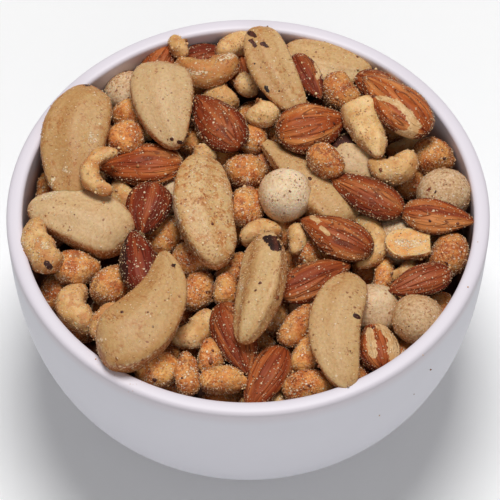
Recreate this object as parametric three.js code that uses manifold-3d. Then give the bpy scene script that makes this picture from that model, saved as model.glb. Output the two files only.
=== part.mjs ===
// A white porcelain bowl filled with honey roasted mixed nuts. Millimetres, +Z up, the origin on the
// table under the bowl's middle, -Y towards the person who looks into it.
//
// The bowl is one turned solid. The heap is one solid too: a low core that fills the bowl, with the nuts
// of the upper layers fused on at their true size, each made of few faces.

import * as THREE from "three";
import Module from "manifold-3d";
import { mergeVertices } from "three/addons/utils/BufferGeometryUtils.js";

const wasm = await Module();
wasm.setup();

// ---------------------------------------------------------------- the bowl's sizes
const RIM_HEIGHT = 78; // table to the top of the lip
const OUTER_RADIUS = 75;
const WALL = 5;
const INNER_RADIUS = OUTER_RADIUS - WALL;
const OUTER_DEPTH = 78; // where the outer curve would close, under the rim
const INNER_DEPTH = 72;
const WALL_POWER = 3.3; // how long the wall stays upright
const WALL_ROUND = 3.2; // how round it turns into the floor
const LIP_DROP = 1.8; // the lip is rounded over this height
const LIP_POWER = 3; // 2 is a half ellipse, more is squarer
const FOOT_RADIUS = 38;
const FOOT_WIDTH = 4;
const FOOT_SLANT = 0.6; // the ring's sides lean in by this much
const FOOT_TOP = 3; // the foot ring meets the body at this height
const FOOT_HOLLOW = 2.4; // depth of the hollow inside the foot ring
const BOWL_SIDES = 44;
const WALL_STEPS = 9;
const LIP_STEPS = 5;

// ---------------------------------------------------------------- the heap's sizes
const CORE_DEPTH = 12; // the core's top lies this far under the rim
const CORE_RISE = 4.5; // and is this much higher at the far wall
const CORE_SIDES = 22;
const CORE_RINGS = 3;
const WALL_GAP = 0.45; // between the nuts and the bowl
const NEAR = 1; // a point nearer than this to the next part of an outline is left out
const SAME_POINT = 1e-4; // points nearer than this are one
const SOFTNESS = 0.94; // touching nuts lie this share of their radii apart, so that they fuse
const FUSED = 0.8; // two nuts are one solid when they lie nearer than this share of their radii
const FALL = 0.4; // a nut that touches nothing falls by steps of this length
const FILLER_SPACING = 12.5; // the nuts under the others stand in rows this far apart
const FILLER_ROOM = 1; // and only where this share of their radii is free
const FILLER = { length: 13.5, width: 11.5, rings: 4 };
const FILLER_SUNK = 1.2; // their middles lie this far under the core's top
const FILLER_TURN = 2.4; // radians by which each is turned from the next
const STATION_REACH = 0.75; // a nut's outermost balls are this share of the way to its ends
const SETTLE_STEPS = 120;
const PUSHED = 0.9; // the share of an overlap that one step takes away
const DRAWN_BACK = 0.97; // the share of its way along the line of sight that a nut keeps at each step
const ASIDE = 1.2; // how far a nut may be pushed across the line of sight
const ORDER_STEP = 3; // how much higher the last nut of a layer starts than its first
const ORDER_LEAN = 0.6; // how strongly a later nut goes over an earlier one
const VIEWER = new THREE.Vector3(0.6, -418.6, 675.5); // the eye of the person who looks into the bowl

// ---------------------------------------------------------------- the kinds of nut
// A nut lies along X with its tip at +X, and is wide in Y. thick: its thickness over its width. bend: how
// far it is bent, in radians, its hollow side towards +Y. blunt: how much of its width a nut bent to a
// half circle adds to its length. taper: how much narrower its tip is than its middle. ridge: how
// three-sided it is. flat: where a half's cut face lies, in widths. girth: the share of its full width at
// a place along it, from -1 to 1 at the tip, where a ball would be as wide as round. sides, rings: its
// faces. stations: how many places along it hold the balls that stand for it in the pile.
const KINDS = {
  brazil: {
    thick: 0.82, bend: 0.7, blunt: 0.5, taper: 0.12, sides: 8, rings: 7, stations: 5, ridge: 0.09,
    girth: (along, round) => Math.pow(round, 0.8),
  },
  almond: {
    thick: 0.6, bend: 0, blunt: 0, taper: 0, sides: 6, rings: 6, stations: 5,
    girth: (along, round) => 1.22 * round * Math.pow((1 - along) / 2, 0.35),
  },
  cashew: {
    thick: 0.92, bend: 2.7, blunt: 0.95, taper: -0.12, sides: 6, rings: 7, stations: 5,
    girth: (along, round) => Math.pow(round, 0.7),
  },
  peanut: {
    thick: 0.92, bend: 0, blunt: 0, taper: 0.1, sides: 6, rings: 5, stations: 3,
    girth: (along, round) => Math.pow(round, 0.9),
  },
  half: {
    thick: 0.8, bend: 0, blunt: 0, taper: 0, sides: 8, rings: 5, stations: 3, flat: 0.1,
    girth: (along, round) => Math.pow(round, 0.75),
  },
  macadamia: {
    thick: 0.96, bend: 0, blunt: 0, taper: 0, sides: 7, rings: 6, stations: 1,
    girth: (along, round) => round,
  },
};

// ---------------------------------------------------------------- the nuts, layer by layer
// kind, then where the viewer sees its middle in the plane of the rim (right, away), the heading of its
// tip, its length and its width. After that, where it differs from its kind: raised and rolled are the
// angles of its tip above the level and of its roll; bend is how far it is bent; taper how much narrower
// its tip is; rise how much higher it lies than its layer. In a layer, a later nut lies over an earlier.
const LOW_NUTS = [
  ["peanut", -62, 7, 80, 13, 10.5],
  ["peanut", -45, -1, 30, 14, 10.5],
  ["cashew", -38, 3, -60, 17, 8],
  ["macadamia", -24, 4, 0, 13, 12],
  ["peanut", -25, -12, 70, 15, 13],
  ["peanut", -17, -21.5, -20, 14, 12],
  ["peanut", -6, -24, 60, 13, 9.5],
  ["peanut", -14.5, -31.5, 60, 14, 11],
  ["peanut", -24, -54, 20, 9.5, 8],
  ["peanut", 5, 17, 20, 12, 9.5],
  ["peanut", 10, 27, 0, 10.5, 9],
  ["almond", -2, 54, -80, 22, 12],
  ["peanut", 20.5, -18, 30, 14, 12],
  ["macadamia", 19, -38, 0, 15, 15],
  ["macadamia", 45, -13, 0, 16, 16],
  ["peanut", 40.5, -27.5, 80, 13, 8],
  ["cashew", 49, 23, 20, 15, 8],
  ["peanut", 51, 9, 60, 13, 9.5],
  ["peanut", -58.5, -32, 60, 15, 12],
  ["peanut", -6.5, 18, 0, 9.5, 7.5],
  ["peanut", 44, 44, 40, 15, 13],
  // along the front wall, behind the lip
  ["peanut", -8, -73, 30, 14, 12],
  ["cashew", 6, -73, 170, 20, 9],
  ["peanut", 46, -56, 50, 14, 12],
  ["peanut", 58, -40, 70, 13, 10.5],
];
const MIDDLE_NUTS = [
  ["macadamia", -39.5, 45, 0, 15.5, 15],
  ["peanut", -36.5, 34, -50, 16, 12],
  ["peanut", -40, 26.5, 40, 13, 12],
  ["almond", -28.5, 58.5, 62, 20, 11, { raised: 12 }],
  ["cashew", -22.5, 62.5, -60, 12, 7],
  ["almond", -14, 61, 10, 14, 9.5],
  ["cashew", -3.5, 62.5, -170, 20, 8.5],
  ["cashew", -8.5, 44, -30, 16, 10],
  ["cashew", 1, 47, -50, 12, 8.5],
  ["peanut", 1.5, 26.5, 80, 13, 9.5],
  ["cashew", -15, 19, 60, 14, 9],
  ["peanut", -0.7, 11.7, 20, 13, 12],
  ["peanut", 0, -1.5, 80, 14, 12],
  ["peanut", -51.5, -22.3, 0, 13.5, 12],
  ["peanut", -41.5, -28.5, 60, 14, 12.5],
  ["cashew", -48.7, -37.5, -75, 22, 10, { bend: 3 }],
  ["cashew", -42, -43.5, -115, 20, 7],
  ["cashew", -16, -44.5, 40, 21, 9],
  ["peanut", -7, -31.5, 85, 11, 8, { rise: -2 }],
  ["peanut", -10.5, -54.5, 80, 12, 9],
  ["peanut", -26.3, -60.5, 10, 13.5, 12],
  ["peanut", -17, -61.5, 95, 14, 8.5],
  ["peanut", -7.5, -64.5, -5, 14, 9],
  ["almond", -4, -50, -72, 27, 13.5],
  ["almond", 5, -61.5, -115, 25, 12.5],
  ["peanut", 13, -43.5, 60, 16, 9],
  ["peanut", 16.5, -54.5, 75, 14, 10],
  ["peanut", 17, -66, 15, 16, 10.5],
  ["macadamia", 38.5, -38, 0, 16.5, 16],
  ["macadamia", 51.8, -42.5, 0, 16, 15.5],
  ["almond", 39.5, -52, 100, 18.5, 12.5, { rise: 3 }],
  ["cashew", 47, -24, 40, 12, 5.5],
  ["cashew", 37, -14, 90, 24, 7.5],
  ["cashew", 3.5, -11, -160, 17, 9.5],
  ["cashew", 14, -13, 95, 14, 7],
  ["brazil", 34, 19, -40, 24, 16],
  ["almond", 20.5, -29, 28, 25, 12.5],
  ["brazil", 25.5, 57, -17, 33, 15, { rise: 3 }],
  ["almond", 20, 49.5, -66, 20, 9],
  ["peanut", 29, 45, -45, 14.5, 12],
  ["brazil", 17.8, 10.5, 129, 45, 14, { bend: 0.4, taper: 0.4 }],
  ["peanut", 58.5, 20, -20, 13.5, 12.5, { rise: 2 }],
  ["macadamia", 60.5, 2.5, 0, 17, 16.5, { rise: 2 }],
  ["peanut", 62, -18, 70, 15, 13],
];
const TOP_NUTS = [
  ["brazil", -53.6, 23, -97, 46, 20, { raised: -8, bend: 1 }],
  ["cashew", -47.5, 12.5, -95, 21, 7, { bend: 3.3 }],
  ["brazil", -51.5, -6.5, 160, 36, 18.5, { raised: 6, taper: 0.25 }],
  ["cashew", -62.3, -13.5, -68, 25, 10, { bend: 1.2, taper: -0.2 }],
  ["almond", -33.5, 16.5, 183, 26.5, 15.5],
  ["almond", -31.9, -2.5, -100, 20, 14.5, { rise: -2 }],
  ["almond", -34.5, -20, 100, 23, 12],
  ["cashew", -14.8, 56, 5, 26, 10],
  ["brazil", -25.5, 37, -81, 35, 18.5, { taper: 0.3, bend: 0.5 }],
  ["almond", -10, 32, 123, 26, 15.5],
  ["brazil", -13.6, -2, -82.5, 44, 18],
  ["brazil", -33, -39, 71, 47, 18, { taper: 0.25, bend: 1.3 }],
  ["brazil", 10.5, 52.5, -67, 36, 14, { raised: -8 }],
  ["cashew", 5, 38, 20, 15, 10],
  ["almond", 21.3, 30.5, 18, 23, 18],
  ["peanut", 23.3, 16.5, -50, 12.5, 11],
  ["almond", 42.5, 44.5, -35, 20, 11],
  ["almond", 46.3, 38.5, 131, 30, 16],
  ["cashew", 38.7, 31, -68, 27, 11.5, { bend: 1, taper: 0.3 }],
  ["cashew", 44.7, 15.5, 15, 19, 9, { bend: 3.3 }],
  ["almond", 57.7, -3.7, -10, 22.5, 12.5],
  ["almond", 37.5, 5, 147, 27, 13, { rise: -1.5 }],
  ["half", 50, -14.5, 0, 15.5, 10.5],
  ["almond", 52, -28.5, 202, 21, 10.5],
  ["brazil", 3, -31.5, 80, 42, 16],
  ["brazil", 29.5, -47.5, -95, 43, 16.5, { bend: 1.3 }],
  ["almond", 27, -11.5, 150, 25, 14],
  ["macadamia", 11.7, 4, 90, 17.5, 16.8, { rise: 5 }],
];
const LAYERS = [
  { level: -13, nuts: LOW_NUTS },
  { level: -7, nuts: MIDDLE_NUTS },
  { level: -1, nuts: TOP_NUTS },
];

// ---------------------------------------------------------------- the bowl
// A wall's radius and its depth under the rim, at a share of the way from the rim to its floor.
function wallPoint(radius, depth, share) {
  const turn = (share * Math.PI) / 2;
  return {
    r: radius * Math.pow(Math.cos(turn), 2 / WALL_ROUND),
    under: depth * Math.pow(Math.sin(turn), 2 / WALL_POWER),
  };
}

// A wall's radius at a depth under the rim.
function wallRadius(radius, depth, under) {
  const share = Math.min(Math.max(under, 0) / depth, 1);
  return radius * Math.pow(1 - Math.pow(share, WALL_POWER), 1 / WALL_ROUND);
}

// The points of a wall from the lip down to a radius near the axis.
function wallPoints(radius, depth, innermost, topmost, steps) {
  const points = [];
  for (let i = 0; i <= steps; i++) {
    const p = wallPoint(radius, depth, i / steps);
    if (p.under > topmost && p.r > innermost) points.push([p.r, RIM_HEIGHT - p.under]);
  }
  return points;
}

// The rounded lip, from the outer wall over the top to the inner wall.
function lipPoints() {
  const points = [];
  const middle = OUTER_RADIUS - WALL / 2;
  for (let i = 0; i <= LIP_STEPS; i++) {
    const turn = (i / LIP_STEPS) * Math.PI;
    const out = Math.sign(Math.cos(turn)) * Math.pow(Math.abs(Math.cos(turn)), 2 / LIP_POWER);
    const up = Math.pow(Math.sin(turn), 2 / LIP_POWER);
    points.push([middle + (out * WALL) / 2, RIM_HEIGHT - LIP_DROP * (1 - up)]);
  }
  return points;
}

// A turned solid from its half outline, which starts and ends on the axis.
function turned(points, sides) {
  const outline = points.map(([r, z]) => new THREE.Vector2(r, z));
  return new THREE.LatheGeometry(outline, sides).rotateX(Math.PI / 2);
}

function bowlGeometry() {
  const footRing = [
    [FOOT_RADIUS, FOOT_TOP],
    [FOOT_RADIUS - FOOT_SLANT, 0],
    [FOOT_RADIUS - FOOT_WIDTH, 0],
    [FOOT_RADIUS - FOOT_WIDTH - FOOT_SLANT, FOOT_HOLLOW],
  ];
  return turned(
    [
      [0, FOOT_HOLLOW],
      ...footRing.reverse(),
      ...wallPoints(OUTER_RADIUS, OUTER_DEPTH, FOOT_RADIUS + NEAR, LIP_DROP + NEAR, WALL_STEPS).reverse(),
      ...lipPoints(),
      ...wallPoints(INNER_RADIUS, INNER_DEPTH, NEAR, LIP_DROP + NEAR, WALL_STEPS),
      [0, RIM_HEIGHT - INNER_DEPTH],
    ],
    BOWL_SIDES,
  );
}

// ---------------------------------------------------------------- one nut
// A place on a nut's middle line, and the direction across it there, in the nut's own plane.
function spineAt(nut, along) {
  const { bend, blunt, length, width } = nut;
  if (!bend) return { x: (along * length) / 2, y: 0, acrossX: 0, acrossY: 1 };
  const half = Math.min(bend / 2, Math.PI / 2);
  const radius = (length - width * blunt * Math.sin(half)) / (2 * Math.sin(half));
  const turn = (along * bend) / 2;
  return {
    x: radius * Math.sin(turn),
    y: radius * ((1 + Math.cos(bend / 2)) / 2 - Math.cos(turn)),
    acrossX: -Math.sin(turn),
    acrossY: Math.cos(turn),
  };
}

// Half the nut's width at a place along it, where a ball would be this round.
function halfWidth(nut, along, round) {
  return (nut.width / 2) * nut.girth(along, round) * (1 - nut.taper * along);
}

// The nut's surface, from a ball whose poles are the nut's ends.
function nutGeometry(nut) {
  const { thick, flat, ridge = 0 } = nut;
  const plump = (1 + 1 / Math.cos(Math.PI / nut.sides)) / 2; // as thick as a nut with a round section
  const ball = new THREE.SphereGeometry(1, nut.sides, nut.rings).rotateZ(-Math.PI / 2);
  const place = ball.attributes.position;
  for (let i = 0; i < place.count; i++) {
    const along = place.getX(i);
    const around = Math.atan2(place.getZ(i), place.getY(i));
    const round = Math.min(Math.hypot(place.getY(i), place.getZ(i)), 1);
    const half = halfWidth(nut, along, round) * plump * (1 + ridge * Math.sin(3 * around));
    const across = half * Math.cos(around);
    const up = Math.min(half * thick * Math.sin(around), flat === undefined ? Infinity : nut.width * flat);
    const spine = spineAt(nut, along);
    place.setXYZ(i, spine.x + spine.acrossX * across, spine.y + spine.acrossY * across, up);
  }
  return ball;
}

// Balls that stand for the nut while the heap is piled up: one or two at each station along it.
function nutBalls(nut) {
  const balls = [];
  for (let i = 0; i < nut.stations; i++) {
    const along = nut.stations === 1 ? 0 : STATION_REACH * ((2 * i) / (nut.stations - 1) - 1);
    const half = halfWidth(nut, along, Math.sqrt(1 - along * along));
    const radius = half * nut.thick;
    const spine = spineAt(nut, along);
    for (const side of half - radius > 1 ? [-1, 1] : [0]) {
      const across = side * (half - radius);
      const centre = new THREE.Vector3(spine.x + spine.acrossX * across, spine.y + spine.acrossY * across, 0);
      balls.push({ centre: centre.applyQuaternion(nut.turn), radius });
    }
  }
  return balls;
}

// ---------------------------------------------------------------- piling them up
// The core's height: it rises towards the far wall.
function coreHeight(y) {
  const share = Math.max(y / INNER_RADIUS, 0);
  return RIM_HEIGHT - CORE_DEPTH + CORE_RISE * share * share;
}

// The point at a height on the viewer's line of sight through a point of the rim's plane.
function sightPoint(x, y, z) {
  const share = (VIEWER.z - z) / (VIEWER.z - RIM_HEIGHT);
  return new THREE.Vector3(x, y, RIM_HEIGHT).sub(VIEWER).multiplyScalar(share).add(VIEWER);
}

// Every nut at the height of its layer, on the line of sight through the place where it is seen.
function nutsInLayers() {
  const nuts = [];
  for (const { level, nuts: listed } of LAYERS) {
    for (const [i, [name, x, y, heading, length, width, own = {}]] of listed.entries()) {
      const nut = { ...KINDS[name], length, width, ...own };
      const { raised = 0, rolled = 0, rise = 0 } = own;
      const angles = [rolled, -raised, heading].map((degrees) => THREE.MathUtils.degToRad(degrees));
      nut.turn = new THREE.Quaternion().setFromEuler(new THREE.Euler(...angles, "ZYX"));
      nut.home = sightPoint(x, y, RIM_HEIGHT + level + rise + (ORDER_STEP * i) / listed.length);
      nut.sight = VIEWER.clone().sub(nut.home).normalize();
      nut.middle = nut.home.clone();
      nut.balls = nutBalls(nut);
      nuts.push(nut);
    }
  }
  return nuts;
}

// How far two nuts, the first under the second, push each other apart.
function pushApart(under, over) {
  if (under.middle.distanceTo(over.middle) > (under.length + over.length) / 2 + NEAR) return;
  for (const a of under.balls) {
    for (const b of over.balls) {
      const apart = b.centre.clone().add(over.middle).sub(a.centre).sub(under.middle);
      const depth = (a.radius + b.radius) * SOFTNESS - apart.length();
      if (depth <= 0) continue;
      apart.normalize().addScaledVector(over.sight, ORDER_LEAN).normalize();
      over.push.addScaledVector(apart, depth);
      under.push.addScaledVector(apart, -depth);
      over.touching += 1;
      under.touching += 1;
    }
  }
}

// How far the bowl's wall pushes a nut inwards.
function pushFromWall(nut) {
  for (const ball of nut.balls) {
    const at = ball.centre.clone().add(nut.middle);
    const above = at.z - RIM_HEIGHT + LIP_DROP / 2;
    if (above >= ball.radius) continue;
    const reach = Math.sqrt(ball.radius ** 2 - Math.max(above, 0) ** 2);
    const r = Math.hypot(at.x, at.y);
    const depth = r + reach - wallRadius(INNER_RADIUS, INNER_DEPTH, -above) + WALL_GAP;
    if (depth <= 0) continue;
    nut.push.add(new THREE.Vector3(at.x, at.y, 0).multiplyScalar(-depth / r));
    nut.touching += 1;
  }
}

// The nuts settle: those that cross push each other apart, and each is drawn back to its home, freely
// across the line of sight only as far as the eye wouldn't notice.
function settledNuts() {
  const nuts = nutsInLayers();
  for (let step = 0; step < SETTLE_STEPS; step++) {
    for (const nut of nuts) {
      nut.push = new THREE.Vector3();
      nut.touching = 0;
    }
    for (const [i, over] of nuts.entries()) {
      for (const under of nuts.slice(0, i)) pushApart(under, over);
    }
    for (const nut of nuts) {
      pushFromWall(nut);
      if (nut.touching) nut.middle.addScaledVector(nut.push, PUSHED / nut.touching);
      const offset = nut.middle.clone().sub(nut.home);
      const along = offset.dot(nut.sight);
      const aside = offset.addScaledVector(nut.sight, -along);
      aside.clampLength(0, ASIDE);
      nut.middle.copy(nut.home).add(aside).addScaledVector(nut.sight, along * DRAWN_BACK);
    }
  }
  return nuts;
}

// Whether a nut is one solid with any of the others.
function isFused(nut, others) {
  return others.some((other) =>
    nut.balls.some((a) =>
      other.balls.some((b) => {
        const apart = b.centre.clone().add(other.middle).sub(a.centre).sub(nut.middle);
        return apart.length() < (a.radius + b.radius) * FUSED;
      }),
    ),
  );
}

// Whether a nut is sunk in the core.
function isInCore(nut) {
  return nut.balls.some((ball) => {
    const at = ball.centre.clone().add(nut.middle);
    return at.z < coreHeight(at.y) + ball.radius * (2 * SOFTNESS - 1);
  });
}

// Rows of nuts half sunk in the core, wherever the others leave room.
function fillers(others) {
  const found = [];
  const rows = Math.ceil(INNER_RADIUS / FILLER_SPACING);
  for (let row = -rows; row <= rows; row++) {
    for (let column = -rows; column <= rows; column++) {
      const x = (column + (row % 2) / 2) * FILLER_SPACING;
      const y = row * FILLER_SPACING * Math.sin(Math.PI / 3);
      const nut = { ...KINDS.peanut, ...FILLER };
      const turn = (row * 5 + column * 3) * FILLER_TURN;
      nut.turn = new THREE.Quaternion().setFromAxisAngle(new THREE.Vector3(0, 0, 1), turn);
      nut.middle = new THREE.Vector3(x, y, coreHeight(y) - FILLER_SUNK);
      nut.balls = nutBalls(nut);
      if (Math.hypot(x, y) > wallRadius(INNER_RADIUS, INNER_DEPTH, CORE_DEPTH) - nut.length / 2) continue;
      const crowded = others.some((other) =>
        other.balls.some((ball) => {
          const apart = ball.centre.clone().add(other.middle).distanceTo(nut.middle);
          return apart < (ball.radius + nut.width / 2) * FILLER_ROOM;
        }),
      );
      if (!crowded) found.push(nut);
    }
  }
  return found;
}

// All the nuts of the heap, each one solid with the core or with a nut below it.
function heapedNuts() {
  const settled = settledNuts();
  const heaped = fillers(settled);
  settled.sort((a, b) => a.middle.z - b.middle.z);
  for (const nut of settled) {
    while (!isInCore(nut) && !isFused(nut, heaped)) nut.middle.addScaledVector(nut.sight, -FALL);
    heaped.push(nut);
  }
  return heaped;
}

// ---------------------------------------------------------------- fusing the heap
function solidOf(geometry) {
  geometry.deleteAttribute("normal");
  geometry.deleteAttribute("uv");
  const merged = mergeVertices(geometry, SAME_POINT);
  return new wasm.Manifold(
    new wasm.Mesh({
      numProp: 3,
      vertProperties: merged.attributes.position.array,
      triVerts: new Uint32Array(merged.index.array),
    }),
  );
}

function geometryOf(solid) {
  const mesh = solid.getMesh();
  const geometry = new THREE.BufferGeometry();
  geometry.setAttribute("position", new THREE.BufferAttribute(mesh.vertProperties, 3));
  geometry.setIndex(new THREE.BufferAttribute(mesh.triVerts, 1));
  geometry.computeVertexNormals();
  return geometry;
}

// The core fills the bowl up to its low top, clear of the wall.
function coreGeometry() {
  const inset = INNER_RADIUS - WALL_GAP;
  const points = [[0, RIM_HEIGHT - INNER_DEPTH + WALL_GAP]];
  const wall = wallPoints(inset, INNER_DEPTH - WALL_GAP, NEAR, CORE_DEPTH + NEAR, WALL_STEPS);
  points.push(...wall.reverse());
  for (let i = CORE_RINGS; i >= 0; i--) points.push([(inset * i) / CORE_RINGS, RIM_HEIGHT - CORE_DEPTH]);
  const core = turned(points, CORE_SIDES);
  const place = core.attributes.position;
  for (let i = 0; i < place.count; i++) {
    if (place.getZ(i) > RIM_HEIGHT - CORE_DEPTH - NEAR) place.setZ(i, coreHeight(place.getY(i)));
  }
  return core;
}

// The bowl's wall grown by the gap, which takes off what a nut would push into it.
function grownWall() {
  const top = RIM_HEIGHT + WALL_GAP;
  const outside = OUTER_RADIUS + WALL_GAP;
  const inner = wallPoints(INNER_RADIUS - WALL_GAP, INNER_DEPTH - WALL_GAP, FOOT_RADIUS, -NEAR, WALL_STEPS);
  const outline = [
    ...inner,
    [outside, inner.at(-1)[1]],
    [outside, top - LIP_DROP],
    [OUTER_RADIUS - WALL / 4, top],
    [INNER_RADIUS + WALL / 4, top],
    inner[0],
  ];
  return turned(outline, BOWL_SIDES);
}

function heapGeometry() {
  const nuts = heapedNuts().map((nut) => {
    const geometry = nutGeometry(nut).applyQuaternion(nut.turn);
    return solidOf(geometry.translate(nut.middle.x, nut.middle.y, nut.middle.z));
  });
  const fused = wasm.Manifold.union([solidOf(coreGeometry()), ...nuts]).subtract(solidOf(grownWall()));
  // The largest shell is the heap's outside: sealed hollows are filled by leaving the others out.
  const shells = fused.decompose();
  return geometryOf(shells.reduce((most, shell) => (shell.volume() > most.volume() ? shell : most)));
}

// ---------------------------------------------------------------- the object
const porcelain = new THREE.MeshStandardMaterial({ color: 0xe6e3ea, roughness: 0.35, metalness: 0 });
const roastedNuts = new THREE.MeshStandardMaterial({ color: 0xb8834f, roughness: 0.65, metalness: 0 });

const bowl = new THREE.Mesh(bowlGeometry(), porcelain);
bowl.name = "bowl";
const heap = new THREE.Mesh(heapGeometry(), roastedNuts);
heap.name = "nut_heap";

const bowlOfNuts = new THREE.Group();
bowlOfNuts.add(bowl, heap);

export default bowlOfNuts;
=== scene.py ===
# %% [markdown]
# # A bowl of honey roasted nuts
# A white porcelain bowl stands on a pale floor, filled over its rim with brazil nuts, almonds, cashews,
# peanuts and macadamias. The solids of the bowl and of the heap are packed already, and everything here is
# built around them in the same frame: metres, +Z up, the origin on the floor under the bowl's middle.

# %% The frame
import math

import bmesh
import bpy
import numpy as np
from mathutils import Euler, Matrix, Vector
from mathutils.bvhtree import BVHTree


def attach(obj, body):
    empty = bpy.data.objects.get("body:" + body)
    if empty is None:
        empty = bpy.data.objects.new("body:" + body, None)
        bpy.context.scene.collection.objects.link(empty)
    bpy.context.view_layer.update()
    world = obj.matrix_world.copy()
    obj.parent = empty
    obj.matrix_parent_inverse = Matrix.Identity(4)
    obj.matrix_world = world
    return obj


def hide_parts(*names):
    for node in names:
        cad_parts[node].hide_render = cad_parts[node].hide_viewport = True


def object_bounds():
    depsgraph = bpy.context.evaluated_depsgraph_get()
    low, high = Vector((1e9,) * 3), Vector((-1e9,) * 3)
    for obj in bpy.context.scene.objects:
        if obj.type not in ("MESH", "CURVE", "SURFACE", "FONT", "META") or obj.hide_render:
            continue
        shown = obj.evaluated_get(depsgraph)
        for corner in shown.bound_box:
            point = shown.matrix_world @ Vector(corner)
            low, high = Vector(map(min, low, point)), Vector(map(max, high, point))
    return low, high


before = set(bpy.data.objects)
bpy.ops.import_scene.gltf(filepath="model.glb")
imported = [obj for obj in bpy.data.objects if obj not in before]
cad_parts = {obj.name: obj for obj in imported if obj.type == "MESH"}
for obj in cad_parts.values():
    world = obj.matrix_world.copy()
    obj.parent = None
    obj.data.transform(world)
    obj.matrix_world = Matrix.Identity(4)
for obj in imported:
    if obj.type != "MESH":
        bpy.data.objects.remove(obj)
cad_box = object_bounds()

MM = 0.001
print("nodes:", ", ".join(sorted(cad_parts)))
print("box of the solids, mm:", [[round(c / MM, 1) for c in corner] for corner in cad_box])

# %% [markdown]
# ## The camera and the light
# The bowl is looked at from the front and from above. Where its rim's ellipse and its bottom edge lie gives
# the camera's height, and how much smaller the far side is gives its distance. The light is that of a light
# tent: one large soft lamp overhead, a weaker one in front, and a pale surrounding.

# %% The camera
VIEWER = np.array((0.6, -418.6, 675.5))  # millimetres, as the places of the nuts are
AIM = Vector((0.6, 0, 53.2)) * MM
LENS, FILM = 169.36, 36

eye = Vector(VIEWER) * MM
camera = bpy.data.objects.new("camera", bpy.data.cameras.new("camera"))
camera.data.lens = LENS
camera.data.sensor_width = FILM
camera.location = eye
camera.rotation_euler = (AIM - eye).to_track_quat("-Z", "Y").to_euler()
bpy.context.scene.collection.objects.link(camera)
bpy.context.scene.camera = camera
looking_down = math.degrees(math.atan2(eye.z - AIM.z, AIM.y - eye.y))
print(f"the camera is {(eye - AIM).length:.2f} m away and looks down by {looking_down:.0f} degrees")


# %% The lamps and the surrounding
LIT_SPOT = Vector((0, 0, 0.06))
SURROUNDING = 0.17


def soft_lamp(name, place, size, watts):
    lamp = bpy.data.objects.new(name, bpy.data.lights.new(name, "AREA"))
    lamp.data.shape = "DISK"
    lamp.data.size = size
    lamp.data.energy = watts
    lamp.location = place
    lamp.rotation_euler = (LIT_SPOT - Vector(place)).to_track_quat("-Z", "Y").to_euler()
    bpy.context.scene.collection.objects.link(lamp)


soft_lamp("overhead_lamp", (0.01, 0.2, 0.95), size=0.4, watts=6.9)
soft_lamp("front_lamp", (0.05, -0.9, 0.6), size=0.8, watts=1.9)

world = bpy.data.worlds.new("pale_surrounding")
world.use_nodes = True
world.node_tree.nodes["Background"].inputs["Color"].default_value = (1, 1, 1, 1)
world.node_tree.nodes["Background"].inputs["Strength"].default_value = SURROUNDING
bpy.context.scene.world = world
bpy.context.scene.view_settings.view_transform = "Standard"
print("lamps:", ", ".join(sorted(light.name for light in bpy.data.lights)))

# %% [markdown]
# The floor is a plain sheet, so large that its end is never seen. It is made of a bmesh, as every piece is:
# the shape is drawn in millimetres and brought down to metres in its mesh, and the object stays unscaled.
# A mesh can also carry values at its points, which its finish reads later.


# %% The floor
def linked_piece(name, mesh, smooth):
    if smooth:
        mesh.shade_smooth()
    piece = bpy.data.objects.new(name, mesh)
    bpy.context.scene.collection.objects.link(piece)
    return piece


def finished_mesh(name, builder):
    """A piece from a bmesh that is drawn in millimetres."""
    mesh = bpy.data.meshes.new(name)
    bmesh.ops.scale(builder, verts=builder.verts, vec=(MM, MM, MM))
    builder.to_mesh(mesh)
    builder.free()
    return linked_piece(name, mesh, smooth=True)


def remember(piece, name, values):
    """Values for the finish, one for each point: numbers, or places where there are three to a point."""
    kind, key = ("FLOAT_VECTOR", "vector") if values.ndim == 3 else ("FLOAT", "value")
    held = piece.data.attributes.new(name, kind, "POINT")
    held.data.foreach_set(key, values.ravel().astype(np.float32))


def normals_of(piece):
    normals = np.empty(len(piece.data.vertices) * 3)
    piece.data.vertex_normals.foreach_get("vector", normals)
    return normals.reshape(-1, 3)


FLOOR_HALF = 4000
builder = bmesh.new()
bmesh.ops.create_grid(builder, x_segments=1, y_segments=1, size=FLOOR_HALF)
floor = finished_mesh("floor", builder)
print(f"the floor: {floor.dimensions.x:.0f} m across")

# %% [markdown]
# ## Tools for the finishes
# A finish is a tree of shader nodes. Small helpers keep the trees short: they put in a node and connect it,
# mix two colours, turn a value into a soft mask, combine two values, make noise, lay a value out over a row
# of colours, or read a value that the mesh carries. Colours are given as the screen shows them, from 0 to
# 255.


# %% Helpers for nodes
def tint(red, green, blue):
    """A colour as a screen shows it, made linear for the shader."""
    shares = [channel / 255 for channel in (red, green, blue)]
    return (*[s / 12.92 if s < 0.04 else ((s + 0.055) / 1.055) ** 2.4 for s in shares], 1)


def fill(tree, node, inputs):
    """Each input of a node is linked to a socket or set to a value."""
    for name, value in inputs.items():
        if isinstance(value, bpy.types.NodeSocket):
            tree.links.new(value, node.inputs[name])
        else:
            node.inputs[name].default_value = value


def put(tree, kind, inputs=None, **settings):
    """A new node with its settings, its inputs set or linked."""
    made = tree.nodes.new("ShaderNode" + kind)
    for name, value in settings.items():
        setattr(made, name, value)
    fill(tree, made, inputs or {})
    return made


def mask(tree, value, low, high):
    """0 below low and 1 above high, with a soft step between. With high under low it is turned round."""
    inputs = {"Value": value, "From Min": low, "From Max": high}
    return put(tree, "MapRange", inputs, interpolation_type="SMOOTHSTEP").outputs["Result"]


def combined(tree, way, one, other):
    return put(tree, "Math", {0: one, 1: other}, operation=way).outputs[0]


def product(tree, one, other):
    return combined(tree, "MULTIPLY", one, other)


def total(tree, first, *others):
    """The sum of two values or more."""
    return combined(tree, "ADD", first, total(tree, *others)) if others else first


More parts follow.
